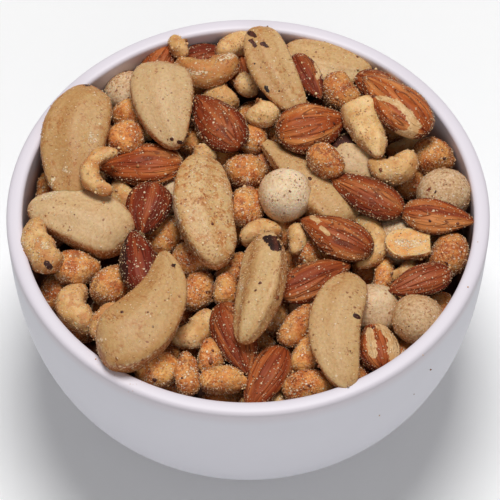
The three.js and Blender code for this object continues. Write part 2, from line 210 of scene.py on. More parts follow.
def noise(tree, place, scale, detail=2.0, roughness=0.5, distortion=0.0):
    """Uneven values from 0 to 1."""
    inputs = {
        "Vector": place, "Scale": scale, "Detail": detail, "Roughness": roughness, "Distortion": distortion,
    }
    return put(tree, "TexNoise", inputs).outputs["Fac"]


def carried(tree, name, output="Fac"):
    """A value, or a place, that the mesh carries at each point."""
    return put(tree, "Attribute", attribute_name=name).outputs[output]


print("helpers: tint, fill, put, mask, combined, product, total, noise, carried")


# %% Helpers for colours
def mixed(tree, share, one, other, way="MIX"):
    inputs = {0: share, 6: one, 7: other}
    return put(tree, "Mix", inputs, data_type="RGBA", blend_type=way).outputs[2]


def tinged(tree, base, where, strength, colour):
    """A colour with another laid over it where a mask says."""
    return mixed(tree, product(tree, where, strength), base, tint(*colour))


def colours(tree, value, *stops):
    """The colour for a value, from a row of (value, colour)."""
    made = put(tree, "ValToRGB", {"Fac": value})
    elements = made.color_ramp.elements
    while len(elements) < len(stops):
        elements.new(0.5)
    for element, (place, colour) in zip(elements, stops):
        element.position = place
        element.color = tint(*colour)
    return made.outputs["Color"]


def relief(tree, height, deep):
    """The normal that a bump gives, so many millimetres deep."""
    return put(tree, "Bump", {"Height": height, "Strength": 1.0, "Distance": deep * MM}).outputs["Normal"]


def new_finish(name):
    """A material and its tree."""
    material = bpy.data.materials.new(name)
    material.use_nodes = True
    return material, material.node_tree


def dress(pieces, finish, inputs):
    """A finish's shader gets its inputs, and the pieces wear the finish."""
    fill(finish.node_tree, finish.node_tree.nodes["Principled BSDF"], inputs)
    for piece in pieces:
        piece.data.materials.append(finish)


print("helpers: mixed, tinged, colours, relief, new_finish, dress")

# %% [markdown]
# ## Effects that several finishes share
# Small spots, lengthwise streaks and a frosting of sugar show on more than one kind of nut. Each is a node
# group with its own inputs, built once. Places are in millimetres on the nut's own skin, so that a pattern
# follows the nut however it lies.


# %% Making and placing an effect
def effect(name, output, **defaults):
    """An empty node group: its tree, its inputs by name, and the socket that its result goes to."""
    tree = bpy.data.node_groups.new(name, "ShaderNodeTree")
    tree.interface.new_socket("Place", in_out="INPUT", socket_type="NodeSocketVector")
    for label, value in defaults.items():
        socket = tree.interface.new_socket(label, in_out="INPUT", socket_type="NodeSocketFloat")
        socket.default_value = value
    tree.interface.new_socket(output, in_out="OUTPUT", socket_type="NodeSocketFloat")
    return tree, tree.nodes.new("NodeGroupInput").outputs, tree.nodes.new("NodeGroupOutput").inputs[0]


def placed(tree, group, place, **inputs):
    """The result of an effect, placed in a finish or in another effect."""
    return put(tree, "Group", {"Place": place, **inputs}, node_tree=group).outputs[0]


def blotches(tree, place, size, detail=2.0):
    """Soft patches of about a size, from 0 to 1."""
    return mask(tree, noise(tree, place, 1 / size, detail, roughness=0.6), 0.32, 0.68)


print("for effects: effect, placed, blotches")

# %% [markdown]
# Spots and flecks are what the roasting and the rubbing leave: round specks of one size, and torn bits of
# no fixed outline. A cell pattern gives the specks, because each cell also has a random colour of its own,
# which says whether it holds a speck. Two sizes of noise, added up, give flecks that crowd in some places.

# %% Spots and flecks
spots, given, result = effect("spots", "Mask", Size=1.0, Share=0.2)
wobble = put(spots, "TexNoise", {"Vector": given["Place"], "Scale": 1.7, "Detail": 2.0}).outputs["Color"]
wobble = put(spots, "VectorMath", {0: wobble, "Scale": 0.5}, operation="SCALE").outputs[0]
wavy = put(spots, "VectorMath", {0: given["Place"], 1: wobble}, operation="ADD").outputs[0]
cell_scale = combined(spots, "DIVIDE", 0.5, given["Size"])
cells = put(spots, "TexVoronoi", {"Vector": wavy, "Scale": cell_scale}).outputs
luck = put(spots, "SeparateColor", {"Color": cells["Color"]}).outputs
chosen = combined(spots, "LESS_THAN", luck["Red"], given["Share"])
far_out = combined(spots, "DIVIDE", cells["Distance"], mask(spots, luck["Green"], -0.6, 1.2))
spots.links.new(product(spots, mask(spots, far_out, 0.5, 0.34), chosen), result)

flecks, given, result = effect("flecks", "Mask", Size=1.0, Share=0.2)
fine = noise(flecks, given["Place"], combined(flecks, "DIVIDE", 1.0, given["Size"]))
wide = noise(flecks, given["Place"], combined(flecks, "DIVIDE", 0.14, given["Size"]))
crowded = total(flecks, product(flecks, given["Share"], 0.3), fine, product(flecks, wide, 0.7))
flecks.links.new(mask(flecks, crowded, 1.06, 1.11), result)
print("effects:", ", ".join(group.name for group in bpy.data.node_groups))

# %% [markdown]
# Streaks and veins run the length of a nut. Both are noise on places that were squeezed along X, which draws
# the noise out. A streak is the noise itself. A vein is a thin line where it crosses its middle value.


# %% Streaks and veins
def drawn_out(tree, given):
    """The places, squeezed by Length along X and by Width across it."""
    here = put(tree, "SeparateXYZ", {"Vector": given["Place"]}).outputs
    squeezes = {"X": "Length", "Y": "Width", "Z": "Width"}
    parts = {axis: combined(tree, "DIVIDE", here[axis], given[by]) for axis, by in squeezes.items()}
    return put(tree, "CombineXYZ", parts).outputs[0]


streaks, given, result = effect("streaks", "Value", Length=12.0, Width=1.0)
streaks.links.new(noise(streaks, drawn_out(streaks, given), 0.5, distortion=0.4), result)

veins, given, result = effect("veins", "Mask", Length=12.0, Width=1.0, Thin=0.05)
uneven = noise(veins, drawn_out(veins, given), 0.5, 1.0, distortion=0.8)
off_middle = combined(veins, "SUBTRACT", uneven, 0.5)
off_middle = put(veins, "Math", {0: off_middle}, operation="ABSOLUTE").outputs[0]
veins.links.new(mask(veins, off_middle, given["Thin"], 0.0), result)
print("effects:", ", ".join(group.name for group in bpy.data.node_groups))

# %% [markdown]
# Sugar sits on the nuts as fine and coarse grains, thicker in some places than in others, so the frosting is
# the spots in two sizes under a mask. Where it melted there is a crust of small uneven ups and downs.

# %% Frosting and crust
frosting, given, result = effect("frosting", "Mask", Amount=0.5)
grains = [placed(frosting, spots, given["Place"], Size=size, Share=given["Amount"]) for size in (0.3, 0.5)]
thick = mask(frosting, noise(frosting, given["Place"], 0.5, 3.0, roughness=0.6), 0.4, 0.56)
thick = total(frosting, product(frosting, thick, 0.7), 0.3)
frosting.links.new(product(frosting, combined(frosting, "MAXIMUM", *grains), thick), result)

crusts, given, result = effect("crusts", "Value", Size=1.0)
crust_scale = combined(crusts, "DIVIDE", 1.0, given["Size"])
crusts.links.new(mask(crusts, noise(crusts, given["Place"], crust_scale, 3.0, 0.65), 0.32, 0.68), result)
print("effects:", ", ".join(group.name for group in bpy.data.node_groups))

# %% [markdown]
# ## The bowl
# A thrown or slip-cast bowl is a turned shape. Its half outline is drawn once and spun round the axis: up
# the outside from the foot ring, over the rounded lip, and down the inside. The walls follow a squared-off
# curve, upright at the rim and round at the floor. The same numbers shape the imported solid, which has flat
# facets: the smooth bowl takes its place.

# %% The bowl's shape
RIM_HEIGHT = 78
OUTER_RADIUS, INNER_RADIUS, WALL = 75, 70, 5
OUTER_DEPTH, INNER_DEPTH = 78, 72
WALL_POWER, WALL_ROUND = 3.3, 3.2
LIP_DROP, LIP_POWER = 1.8, 3
WALL_STEPS, LIP_STEPS, BOWL_SIDES = 44, 15, 144
FACING_IN = 0.1
FOOT_RADIUS, FOOT_WIDTH, FOOT_SLANT, FOOT_TOP, FOOT_HOLLOW = 38, 4, 0.6, 3, 2.4


def wall_points(radius, depth, innermost, topmost, steps):
    """Points of a wall, from the lip down to a radius near the axis."""
    points = []
    for turn in np.linspace(0, math.pi / 2, steps):
        out = radius * max(math.cos(turn), 0) ** (2 / WALL_ROUND)
        under = depth * math.sin(turn) ** (2 / WALL_POWER)
        if under > topmost and out > innermost:
            points.append((out, RIM_HEIGHT - under))
    return points


def lip_points(steps):
    points = []
    for turn in np.linspace(0, math.pi, steps):
        out = math.copysign(abs(math.cos(turn)) ** (2 / LIP_POWER), math.cos(turn))
        up = math.sin(turn) ** (2 / LIP_POWER) if turn < math.pi else 0
        points.append((OUTER_RADIUS - WALL / 2 + out * WALL / 2, RIM_HEIGHT - LIP_DROP * (1 - up)))
    return points


def foot_points(corner=0.5, steps=5):
    """The foot ring, from the hollow under the bowl to the outside, its two lower corners rounded."""
    inside, outside = FOOT_RADIUS - FOOT_WIDTH, FOOT_RADIUS - FOOT_SLANT
    points = [(inside - FOOT_SLANT, FOOT_HOLLOW)]
    for turn in np.linspace(0, math.pi / 2, steps):
        points.append((inside + corner * (1 - math.cos(turn)), corner * (1 - math.sin(turn))))
    for turn in np.linspace(0, math.pi / 2, steps):
        points.append((outside - corner * (1 - math.sin(turn)), corner * (1 - math.cos(turn))))
    return points + [(FOOT_RADIUS, FOOT_TOP)]


def spun(outline, steps):
    """A closed turned solid from a half outline that starts and ends on the axis."""
    builder = bmesh.new()
    corners = [builder.verts.new((r, 0, z)) for r, z in outline]
    edges = [builder.edges.new(pair) for pair in zip(corners, corners[1:])]
    bmesh.ops.spin(
        builder, geom=corners + edges, axis=(0, 0, 1), cent=(0, 0, 0), angle=2 * math.pi, steps=steps,
        use_merge=True,
    )
    bmesh.ops.remove_doubles(builder, verts=builder.verts, dist=0.01)
    bmesh.ops.recalc_face_normals(builder, faces=builder.faces)
    return builder


outline = [(0, FOOT_HOLLOW)] + foot_points()
outline += wall_points(OUTER_RADIUS, OUTER_DEPTH, FOOT_RADIUS + 1, LIP_DROP + 1, WALL_STEPS)[::-1]
outline += lip_points(LIP_STEPS)
outline += wall_points(INNER_RADIUS, INNER_DEPTH, 1, LIP_DROP + 1, WALL_STEPS)
outline += [(0, RIM_HEIGHT - INNER_DEPTH)]
bowl = finished_mesh("porcelain_bowl", spun(outline, BOWL_SIDES))
corners = np.array([corner.co for corner in bowl.data.vertices]) / MM
flat_corners = corners[:, :2]
inwards = -(normals_of(bowl)[:, :2] * flat_corners).sum(1) / np.maximum(np.hypot(*flat_corners.T), 1)
remember(bowl, "inside", np.where((inwards > FACING_IN) & (corners[:, 2] > FOOT_TOP), 1.0, 0.0))
print(f"the bowl: {len(bowl.data.polygons)} faces, {bowl.dimensions.x / MM:.1f} mm across")

# %% [markdown]
# Glazed porcelain is white, with a breath of violet here, and smooth: a clear coat over a slightly rougher
# body. The glaze isn't perfectly even, so a very low, wide bump lets the light wander on it. The lip is
# painted a little darker and pinker than the walls: a painted warm reflection. Inside, from under the lip
# down, it is painted brown: painted shade, and the brown light that the nuts reflect there. The ring that
# the bowl stands on is wiped free of glaze and stays matt.

# %% The glaze
finish, tree = new_finish("glazed_porcelain")
place = put(tree, "TexCoord").outputs["Object"]
height_here = put(tree, "SeparateXYZ", {"Vector": place}).outputs["Z"]
white = mixed(tree, noise(tree, place, 55.0), tint(226, 225, 234), tint(230, 229, 238))
# The lip is painted a little darker and pinker than the walls: a painted warm reflection.
lip_here = mask(tree, height_here, (RIM_HEIGHT - 7) * MM, (RIM_HEIGHT - 1) * MM)
white = mixed(tree, lip_here, white, tint(223, 216, 224))
# Brown inside, from under the lip down: painted shade and the nuts' reflected brown light.
shade_under_lip = mask(tree, height_here, (RIM_HEIGHT - 1) * MM, (RIM_HEIGHT - 14) * MM)
white = tinged(tree, white, product(tree, carried(tree, "inside"), shade_under_lip), 0.8, (150, 98, 66))
bare_foot = mask(tree, height_here, 0.6 * MM, 0.3 * MM)
roughness = put(tree, "MapRange", {"Value": bare_foot, "To Min": 0.5, "To Max": 0.85}).outputs["Result"]
dress([bowl], finish, {
    "Base Color": mixed(tree, bare_foot, white, tint(214, 206, 196)),
    "Roughness": roughness, "Coat Weight": 0.12, "Coat Roughness": 0.3,
    "Normal": relief(tree, noise(tree, place, 30.0, 1.0), 0.06),
})
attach(bowl, "root")
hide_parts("bowl")

finish, tree = new_finish("pale_floor")
place = put(tree, "TexCoord").outputs["Object"]
pale = mixed(tree, noise(tree, place, 3.0), tint(254, 254, 254), tint(255, 255, 255))
dress([floor], finish, {"Base Color": pale, "Roughness": 0.9})
print("finishes:", ", ".join(sorted(material.name for material in bpy.data.materials)))

# %% [markdown]
# ## The nuts and their places
# Every nut is one of six kinds. A kind is described by how it is bent along its length and how wide it is
# from end to end, so one rule draws them all: a ball is drawn out along a bent line. The lists then say,
# layer by layer, what lies where. The places are those that the viewer sees in the plane of the rim, and
# the heights come from letting the nuts settle on each other. The heap's solid was made by the same rules.
#
# thick is a nut's height as a share of its width, bend the turn of its middle line in radians, blunt how far
# its bent ends reach past that line, and taper how much its tip is narrower. stations are the places along
# it where balls stand in for it. girth is its width from end to end, and finer the girth of the drawn nut
# where that is fuller than the solid's. ridge is how high its three blunt edges are, and flat where a half
# is cut.

# %% The kinds
KINDS = {
    "brazil": dict(thick=0.82, bend=0.7, blunt=0.5, taper=0.12, stations=5, ridge=0.09,
                   girth=lambda along, ball: ball ** 0.8),
    "almond": dict(thick=0.6, bend=0, blunt=0, taper=0, stations=5,
                   girth=lambda along, ball: 1.22 * ball * ((1 - along) / 2) ** 0.35,
                   finer=lambda along, ball: 1.17 * ball * ((1 - along) / 2) ** 0.27),
    "cashew": dict(thick=0.92, bend=2.7, blunt=0.95, taper=-0.12, stations=5,
                   girth=lambda along, ball: ball ** 0.7),
    "peanut": dict(thick=0.92, bend=0, blunt=0, taper=0.1, stations=3,
                   girth=lambda along, ball: ball ** 0.9),
    "half": dict(thick=0.8, bend=0, blunt=0, taper=0, stations=3, flat=0.1,
                 girth=lambda along, ball: ball ** 0.75),
    "macadamia": dict(thick=0.96, bend=0, blunt=0, taper=0, stations=1,
                      girth=lambda along, ball: ball),
}
print("kinds:", ", ".join(KINDS))

# %% [markdown]
# Each row is a kind, where its middle is seen (right, away), the heading of its tip, its length and its
# width. What differs from the kind comes after. raised and rolled turn the nut, bend and taper shape it,
# and rise lifts it. tone is how dark it is roasted, and shade how brown it is all over. dark, bare and
# sugared are marks: dark skin left on, skin rubbed off, or sugar in a small heap. Each mark is a run of
# (right, away, radius), as seen. drawn holds what is changed after the settling, when the nut is drawn:
# there shift moves it, and broken says how far along it the tip is broken off.

# %% The lowest nuts that show
LOW_NUTS = [
    ("peanut", -62, 7, 80, 13, 10.5, {}),
    ("peanut", -45, -1, 30, 14, 10.5, {}),
    ("cashew", -38, 3, -60, 17, 8, {}),
    ("macadamia", -24, 4, 0, 13, 12, {}),
    ("peanut", -25, -12, 70, 15, 13, {}),
    ("peanut", -17, -21.5, -20, 14, 12, {}),
    ("peanut", -6, -24, 60, 13, 9.5, {}),
    ("peanut", -14.5, -31.5, 60, 14, 11, {}),
    ("peanut", -24, -54, 20, 9.5, 8, {}),
    ("peanut", 5, 17, 20, 12, 9.5, {}),
    ("peanut", 10, 27, 0, 10.5, 9, {}),
    ("almond", -2, 54, -80, 22, 12, {}),
    ("peanut", 20.5, -18, 30, 14, 12, {}),
    ("macadamia", 19, -38, 0, 15, 15, {"tone": 0.8}),
    ("macadamia", 45, -13, 0, 16, 16, {"tone": 0.8}),
    ("peanut", 40.5, -27.5, 80, 13, 8, {}),
    ("cashew", 49, 23, 20, 15, 8, {}),
    ("peanut", 51, 9, 60, 13, 9.5, {}),
    ("peanut", -58.5, -32, 60, 15, 12, {}),
    ("peanut", -6.5, 18, 0, 9.5, 7.5, {}),
    ("peanut", 44, 44, 40, 15, 13, {}),
    ("peanut", -8, -73, 30, 14, 12, {}),
    ("cashew", 6, -73, 170, 20, 9, {}),
    ("peanut", 46, -56, 50, 14, 12, {}),
    ("peanut", 58, -40, 70, 13, 10.5, {}),
]

# %% The nuts in the middle
MIDDLE_NUTS = [
    ("macadamia", -39.5, 45, 0, 15.5, 15, {"tone": 0.6}),
    ("peanut", -36.5, 34, -50, 16, 12, {}),
    ("peanut", -40, 26.5, 40, 13, 12, {}),
    ("almond", -28.5, 58.5, 62, 20, 11, {"raised": 12}),
    ("cashew", -22.5, 62.5, -60, 12, 7, {}),
    ("almond", -14, 61, 10, 14, 9.5, {"tone": 0.9}),
    ("cashew", -3.5, 62.5, -170, 20, 8.5, {}),
    ("cashew", -8.5, 44, -30, 16, 10, {}),
    ("cashew", 1, 47, -50, 12, 8.5, {}),
    ("peanut", 1.5, 26.5, 80, 13, 9.5, {}),
    ("cashew", -15, 19, 60, 14, 9, {}),
    ("peanut", -0.7, 11.7, 20, 13, 12, {}),
    ("peanut", 0, -1.5, 80, 14, 12, {}),
    ("peanut", -51.5, -22.3, 0, 13.5, 12, {}),
    ("peanut", -41.5, -28.5, 60, 14, 12.5, {}),
    ("cashew", -48.7, -37.5, -75, 22, 10, {"bend": 3}),
    ("cashew", -42, -43.5, -115, 20, 7, {"tone": 1}),
    ("cashew", -16, -44.5, 40, 21, 9, {}),
    ("peanut", -7, -31.5, 85, 11, 8, {"rise": -2}),
    ("peanut", -10.5, -54.5, 80, 12, 9, {}),
    ("peanut", -26.3, -60.5, 10, 13.5, 12, {"tone": 0, "shade": 0, "drawn": {"shift": (0.8, -0.6, 2.6)}}),
    ("peanut", -17, -61.5, 95, 14, 8.5, {}),
    ("peanut", -7.5, -64.5, -5, 14, 9, {}),
    ("almond", -4, -50, -72, 27, 13.5, {}),
    ("almond", 5, -61.5, -115, 25, 12.5, {}),
    ("peanut", 13, -43.5, 60, 16, 9, {}),
    ("peanut", 16.5, -54.5, 75, 14, 10, {}),
    ("peanut", 17, -66, 15, 16, 10.5, {}),
    ("macadamia", 38.5, -38, 0, 16.5, 16, {"tone": 0.2, "shade": 0.4}),
    ("macadamia", 51.8, -42.5, 0, 16, 15.5, {"tone": 0.6, "shade": 0.75}),
    ("almond", 39.5, -52, 100, 18.5, 12.5, {
        "rise": 3, "tone": 0.2,
        "bare": [
            [(36.4, -46, 1.3), (37.2, -54, 1.5)], [(40, -43.6, 1.8), (43.6, -48, 2.2), (43.4, -55, 1.8)],
        ],
    }),
    ("cashew", 47, -24, 40, 12, 5.5, {}),
    ("cashew", 37, -14, 90, 24, 7.5, {}),
    ("cashew", 3.5, -11, -160, 17, 9.5, {}),
    ("cashew", 14, -13, 95, 14, 7, {}),
    ("brazil", 34, 19, -40, 24, 16, {
        "tone": 0, "dark": [[(27, 24, 1.8), (30.6, 26, 1.6), (36, 24.6, 1.3)]],
    }),
    ("almond", 20.5, -29, 28, 25, 12.5, {"tone": 0.45, "dark": [[(9.5, -36, 1.8), (12, -37.5, 1.4)]]}),
    ("brazil", 25.5, 57, -17, 33, 15, {"rise": 3, "tone": 0.2, "shade": 0}),
    ("almond", 20, 49.5, -66, 20, 9, {
        "tone": 0.8, "bare": [[(22.2, 50, 0.7), (23, 53, 1), (22, 56, 0.8)]],
    }),
    ("peanut", 29, 45, -45, 14.5, 12, {}),
    ("brazil", 17.8, 10.5, 129, 45, 14, {
        "bend": 0.4, "taper": 0.4, "tone": 0.3,
        "drawn": {"taper": 0.62, "bend": 0.1, "rolled": 20, "width": 14.5},
    }),
    ("peanut", 58.5, 20, -20, 13.5, 12.5, {"rise": 2}),
    ("macadamia", 60.5, 2.5, 0, 17, 16.5, {
        "rise": 2, "tone": 0.7, "shade": 0.5,
        "dark": [[(56.3, 5.6, 0.7), (56.8, 6.8, 0.6)], [(58.1, 1.6, 0.6)]],
    }),
    ("peanut", 62, -18, 70, 15, 13, {}),
]

# %% The nuts on top
TOP_NUTS = [
    ("brazil", -53.6, 23, -97, 46, 20, {
        "raised": -8, "bend": 1, "tone": 0.4, "shade": 0.45, "dark": [[(-51.9, 47.5, 1.1)]],
        "sugared": [
            [(-49.6, 27, 0.9), (-49, 25, 1.3)], [(-57.4, 14, 1.2), (-56, 13, 0.9)],
            [(-61, 10.3, 0.8), (-61.5, 7, 0.8)],
        ],
    }),
    ("cashew", -47.5, 12.5, -95, 21, 7, {
        "bend": 3.3, "drawn": {"width": 6, "length": 20, "shift": (1, 0, 0)},
    }),
    ("brazil", -51.5, -6.5, 160, 36, 18.5, {
        "raised": 6, "taper": 0.25, "tone": 0.1, "shade": 0, "sugared": [[(-63, 3.6, 1.4), (-60, 5, 1)]],
    }),
    ("cashew", -62.3, -13.5, -68, 25, 10, {
        "bend": 1.2, "taper": -0.2, "dark": [[(-61.3, -21.6, 1.2), (-60.4, -23, 1)]],
        "sugared": [[(-62, -15, 1.6)]],
    }),
    ("almond", -33.5, 16.5, 183, 26.5, 15.5, {
        "tone": 0.15, "bare": [[(-22, 21, 0.6), (-20.5, 18.5, 0.8)]],
    }),
    ("almond", -31.9, -2.5, -100, 20, 14.5, {
        "rise": -2, "tone": 0.9, "bare": [[(-33.2, -11, 1), (-31.5, -12, 0.9)]],
    }),
    ("almond", -34.5, -20, 100, 23, 12, {
        "tone": 1, "shade": 0.5, "dark": [[(-39.5, -13, 2.6), (-40, -19, 3), (-38.5, -26, 2.2)]],
        "bare": [[(-37.6, -25.4, 0.9)]], "drawn": {"shift": (0, -1.8, 3)},
    }),
    ("cashew", -14.8, 56, 5, 26, 10, {
        "tone": 0.9, "shade": 0.9,
        "sugared": [[(-25, 55, 1.5), (-20, 52.6, 1.3), (-14, 52, 1.2)], [(-9, 58, 1.2), (-4.5, 60, 1.6)]],
    }),
    ("brazil", -25.5, 37, -81, 35, 18.5, {
        "taper": 0.3, "bend": 0.5, "tone": 0.1, "shade": 0.25,
        "dark": [[(-24.2, 25.5, 0.7)], [(-21.8, 24.4, 0.9), (-20.4, 24, 0.7)]],
    }),
    ("almond", -10, 32, 123, 26, 15.5, {"tone": 0.75}),
    ("brazil", -13.6, -2, -82.5, 44, 18, {
        "tone": 1, "shade": 0, "sugared": [[(-23, 3, 1.1), (-23.2, -1, 1.3), (-21.5, -6, 1)]],
        "drawn": {"taper": 0.02, "rolled": -14},
    }),
    ("brazil", -33, -39, 71, 47, 18, {
        "taper": 0.25, "bend": 1.3, "tone": 0.4, "shade": 0.45, "dark": [[(-22.7, -22.2, 0.7)]],
        "drawn": {"heading": 64, "taper": 0.52, "bend": 1.45, "shift": (0.3, 1, 0)},
    }),
    ("brazil", 10.5, 52.5, -67, 36, 14, {
        "raised": -8, "tone": 0.45, "shade": 0.35,
        "dark": [
            [(0.7, 68.6, 1.1), (2.4, 67.4, 0.8)], [(0.9, 65.6, 0.7), (2.2, 63.4, 0.8)],
            [(4.6, 64.2, 0.9), (6.2, 63.2, 0.7)], [(2.2, 55.8, 0.6)],
            [(5.7, 46.4, 0.7), (6.4, 44.6, 0.6)],
        ],
    }),
    ("cashew", 5, 38, 20, 15, 10, {}),
    ("almond", 21.3, 30.5, 18, 23, 18, {"tone": 0.15}),
    ("peanut", 23.3, 16.5, -50, 12.5, 11, {}),
    ("almond", 42.5, 44.5, -35, 20, 11, {}),
    ("almond", 46.3, 38.5, 131, 30, 16, {
        "tone": 0.1,
        "bare": [
            [
                (41.8, 42.2, 1), (47, 40.4, 1.2), (51, 36, 1.4), (53.2, 30.6, 1.8), (51, 27.2, 2),
                (47.6, 27.4, 1.5),
            ],
        ],
    }),
    ("cashew", 38.7, 31, -68, 27, 11.5, {
        "bend": 1, "taper": 0.3,
        "drawn": {
            "heading": 108, "bend": 0.4, "rolled": 75, "taper": -0.45, "thick": 1, "width": 11.5,
            "broken": 0.72,
        },
        "tone": 0, "shade": 0,
    }),
    ("cashew", 44.7, 15.5, 15, 19, 9, {"bend": 3.3}),
    ("almond", 57.7, -3.7, -10, 22.5, 12.5, {"tone": 0.3}),
    ("almond", 37.5, 5, 147, 27, 13, {"rise": -1.5, "tone": 0.5}),
    ("half", 50, -14.5, 0, 15.5, 10.5, {
        "tone": 0.2, "shade": 0, "drawn": {"broken": 0.8},
        "sugared": [[(46, -14, 1.1), (50, -14.6, 1.4), (54, -13.4, 1)]],
    }),
    ("almond", 52, -28.5, 202, 21, 10.5, {"tone": 0.85}),
    ("brazil", 3, -31.5, 80, 42, 16, {
        "tone": 0.2, "shade": 0.15, "dark": [[(6, -12.4, 1.5), (7.6, -13.4, 2), (8.6, -15.4, 2)]],
        "sugared": [[(-2, -28.5, 0.5), (-2, -31.5, 0.5)], [(7, -14, 0.6), (8.6, -15, 0.6)]],
        "drawn": {"width": 14.5, "taper": -0.1, "rolled": -35, "shift": (-0.8, 0, 0)},
    }),
    ("brazil", 29.5, -47.5, -95, 43, 16.5, {
        "bend": 1.3, "tone": 0.2, "shade": 0.4, "dark": [[(32.2, -40.3, 0.7), (33.2, -41, 0.7)]],
        "drawn": {"width": 15},
    }),
    ("almond", 27, -11.5, 150, 25, 14, {
        "tone": 0.35,
        "bare": [[(19.8, -4.4, 0.8), (21.6, -6, 0.9)], [(22.6, -8.2, 0.7), (24.6, -10.6, 0.9)]],
    }),
    ("macadamia", 11.7, 4, 90, 17.5, 16.8, {
        "rise": 5, "tone": 0, "shade": 0.05, "drawn": {"shift": (0, 0.5, -0.8)},
        "dark": [[(13.3, 5.9, 0.5), (13.5, 5, 0.5)], [(15.3, 2, 0.4)]],
        "sugared": [[(6, 1, 1.4), (10, -2.6, 1.6), (15, -1.2, 1.4), (17.6, 2, 1.2)]],
    }),
]
LAYERS = [(-13, LOW_NUTS), (-7, MIDDLE_NUTS), (-1, TOP_NUTS)]
print("nuts in the layers:", [len(listed) for level, listed in LAYERS])

# %% [markdown]
# A nut's middle line is a piece of a circle. For the settling each nut is a row of balls, because balls
# are quick to test against each other: one or two at each station along its line.

# %% One nut
STATION_REACH = 0.75


def spine(nut, along):
    """Points of the middle line, and the direction across it, in the nut's own plane."""
    if not nut["bend"]:
        zero = along * 0
        return along * nut["length"] / 2, zero, zero, zero + 1
    half = min(nut["bend"] / 2, math.pi / 2)
    radius = (nut["length"] - nut["width"] * nut["blunt"] * math.sin(half)) / (2 * math.sin(half))
    turn = along * nut["bend"] / 2
    sideways = radius * ((1 + math.cos(nut["bend"] / 2)) / 2 - np.cos(turn))
    return radius * np.sin(turn), sideways, -np.sin(turn), np.cos(turn)


def half_width(nut, along, ball, girth="girth"):
    return nut["width"] / 2 * nut[girth](along, ball) * (1 - nut["taper"] * along)


def stand_in_balls(nut):
    """Centres, turned as the nut is turned, and radii."""
    found = []
    reach = [0.0] if nut["stations"] == 1 else np.linspace(-STATION_REACH, STATION_REACH, nut["stations"])
    for along in reach:
        half = half_width(nut, along, math.sqrt(1 - along * along))
        radius = half * nut["thick"]
        x, y, across_x, across_y = spine(nut, along)
        for side in (-1, 1) if half - radius > 1 else (0,):
            across = side * (half - radius)
            found.append((x + across_x * across, y + across_y * across, 0, radius))
    found = np.array(found)
    return found[:, :3] @ nut["turn"].T, found[:, 3]


def turn_of(angles):
    turns = (angles["rolled"], -angles["raised"], angles["heading"])
    return np.array(Euler([math.radians(degrees) for degrees in turns], "XYZ").to_matrix())


# %% [markdown]
# The nuts start at the height of their layer, on the viewer's line of sight. Step by step, those that cross
# push each other apart, the bowl's wall pushes them inwards, and each is drawn back to its line of sight.
# A later nut in a layer is pushed towards the viewer, because it lies over the earlier ones.

# %% Settling
ORDER_STEP, ORDER_LEAN, SOFTNESS, WALL_GAP = 3, 0.6, 0.94, 0.45
SETTLE_STEPS, PUSHED, DRAWN_BACK, ASIDE = 120, 0.9, 0.97, 1.2
NEAR_ENOUGH = 45  # nuts that start further apart never meet


def sight_point(x, y, z):
    share = (VIEWER[2] - z) / (VIEWER[2] - RIM_HEIGHT)
    return VIEWER + (np.array((x, y, RIM_HEIGHT)) - VIEWER) * share


def wall_radius(under):
    share = np.clip(under / INNER_DEPTH, 0, 1)
    return INNER_RADIUS * (1 - share ** WALL_POWER) ** (1 / WALL_ROUND)


def nuts_in_layers():
    nuts = []
    for level, listed in LAYERS:
        for i, (name, x, y, heading, length, width, own) in enumerate(listed):
            nut = {**KINDS[name], "kind": name, "length": length, "width": width, **own}
            nut["angles"] = {"raised": 0, "rolled": 0, "heading": heading, **own}
            nut["turn"] = turn_of(nut["angles"])
            height = RIM_HEIGHT + level + own.get("rise", 0) + ORDER_STEP * i / len(listed)
            nut["home"] = sight_point(x, y, height)
            nut["centres"], nut["radii"] = stand_in_balls(nut)
            nuts.append(nut)
    return nuts


def settle(nuts):
    """Each nut gets its middle, after steps in which the balls push each other and the wall pushes them."""
    home = np.array([nut["home"] for nut in nuts])
    sight = VIEWER - home
    sight /= np.linalg.norm(sight, axis=1)[:, None]
    owner = np.concatenate([[i] * len(nut["radii"]) for i, nut in enumerate(nuts)])
    centres = np.concatenate([nut["centres"] for nut in nuts])
    radii = np.concatenate([nut["radii"] for nut in nuts])
    under, over = np.nonzero(np.triu(owner[:, None] < owner[None, :]))
    start = home[owner] + centres
    near = np.linalg.norm(start[under] - start[over], axis=1) < NEAR_ENOUGH
    under, over = under[near], over[near]
    middle = home.copy()
    for step in range(SETTLE_STEPS):
        at = middle[owner] + centres
        push, touching = np.zeros_like(middle), np.zeros(len(middle))
        apart = at[over] - at[under]
        distance = np.linalg.norm(apart, axis=1)
        depth = (radii[over] + radii[under]) * SOFTNESS - distance
        hit = depth > 0
        way = apart[hit] / distance[hit, None] + sight[owner[over[hit]]] * ORDER_LEAN
        way *= (depth[hit] / np.linalg.norm(way, axis=1))[:, None]
        for side, sign in ((over, 1), (under, -1)):
            np.add.at(push, owner[side[hit]], sign * way)
            np.add.at(touching, owner[side[hit]], 1)
        above = at[:, 2] - RIM_HEIGHT + LIP_DROP / 2
        out = np.hypot(at[:, 0], at[:, 1])
        reach = np.sqrt(np.maximum(radii ** 2 - np.maximum(above, 0) ** 2, 0))
        depth = out + reach - wall_radius(-above) + WALL_GAP
        hit = (above < radii) & (depth > 0)
        inwards = at[hit, :2] * (-depth[hit] / out[hit])[:, None]
        np.add.at(push[:, :2], owner[hit], inwards)
        np.add.at(touching, owner[hit], 1)
        middle += push * (PUSHED / np.maximum(touching, 1))[:, None]
        offset = middle - home
        along = (offset * sight).sum(1)[:, None]
        aside = offset - along * sight
        far = np.linalg.norm(aside, axis=1)[:, None]
        aside *= np.minimum(1, ASIDE / np.maximum(far, 1e-9))
        middle = home + aside + along * DRAWN_BACK * sight
    for nut, place in zip(nuts, middle):
        nut["middle"] = place
    return nuts


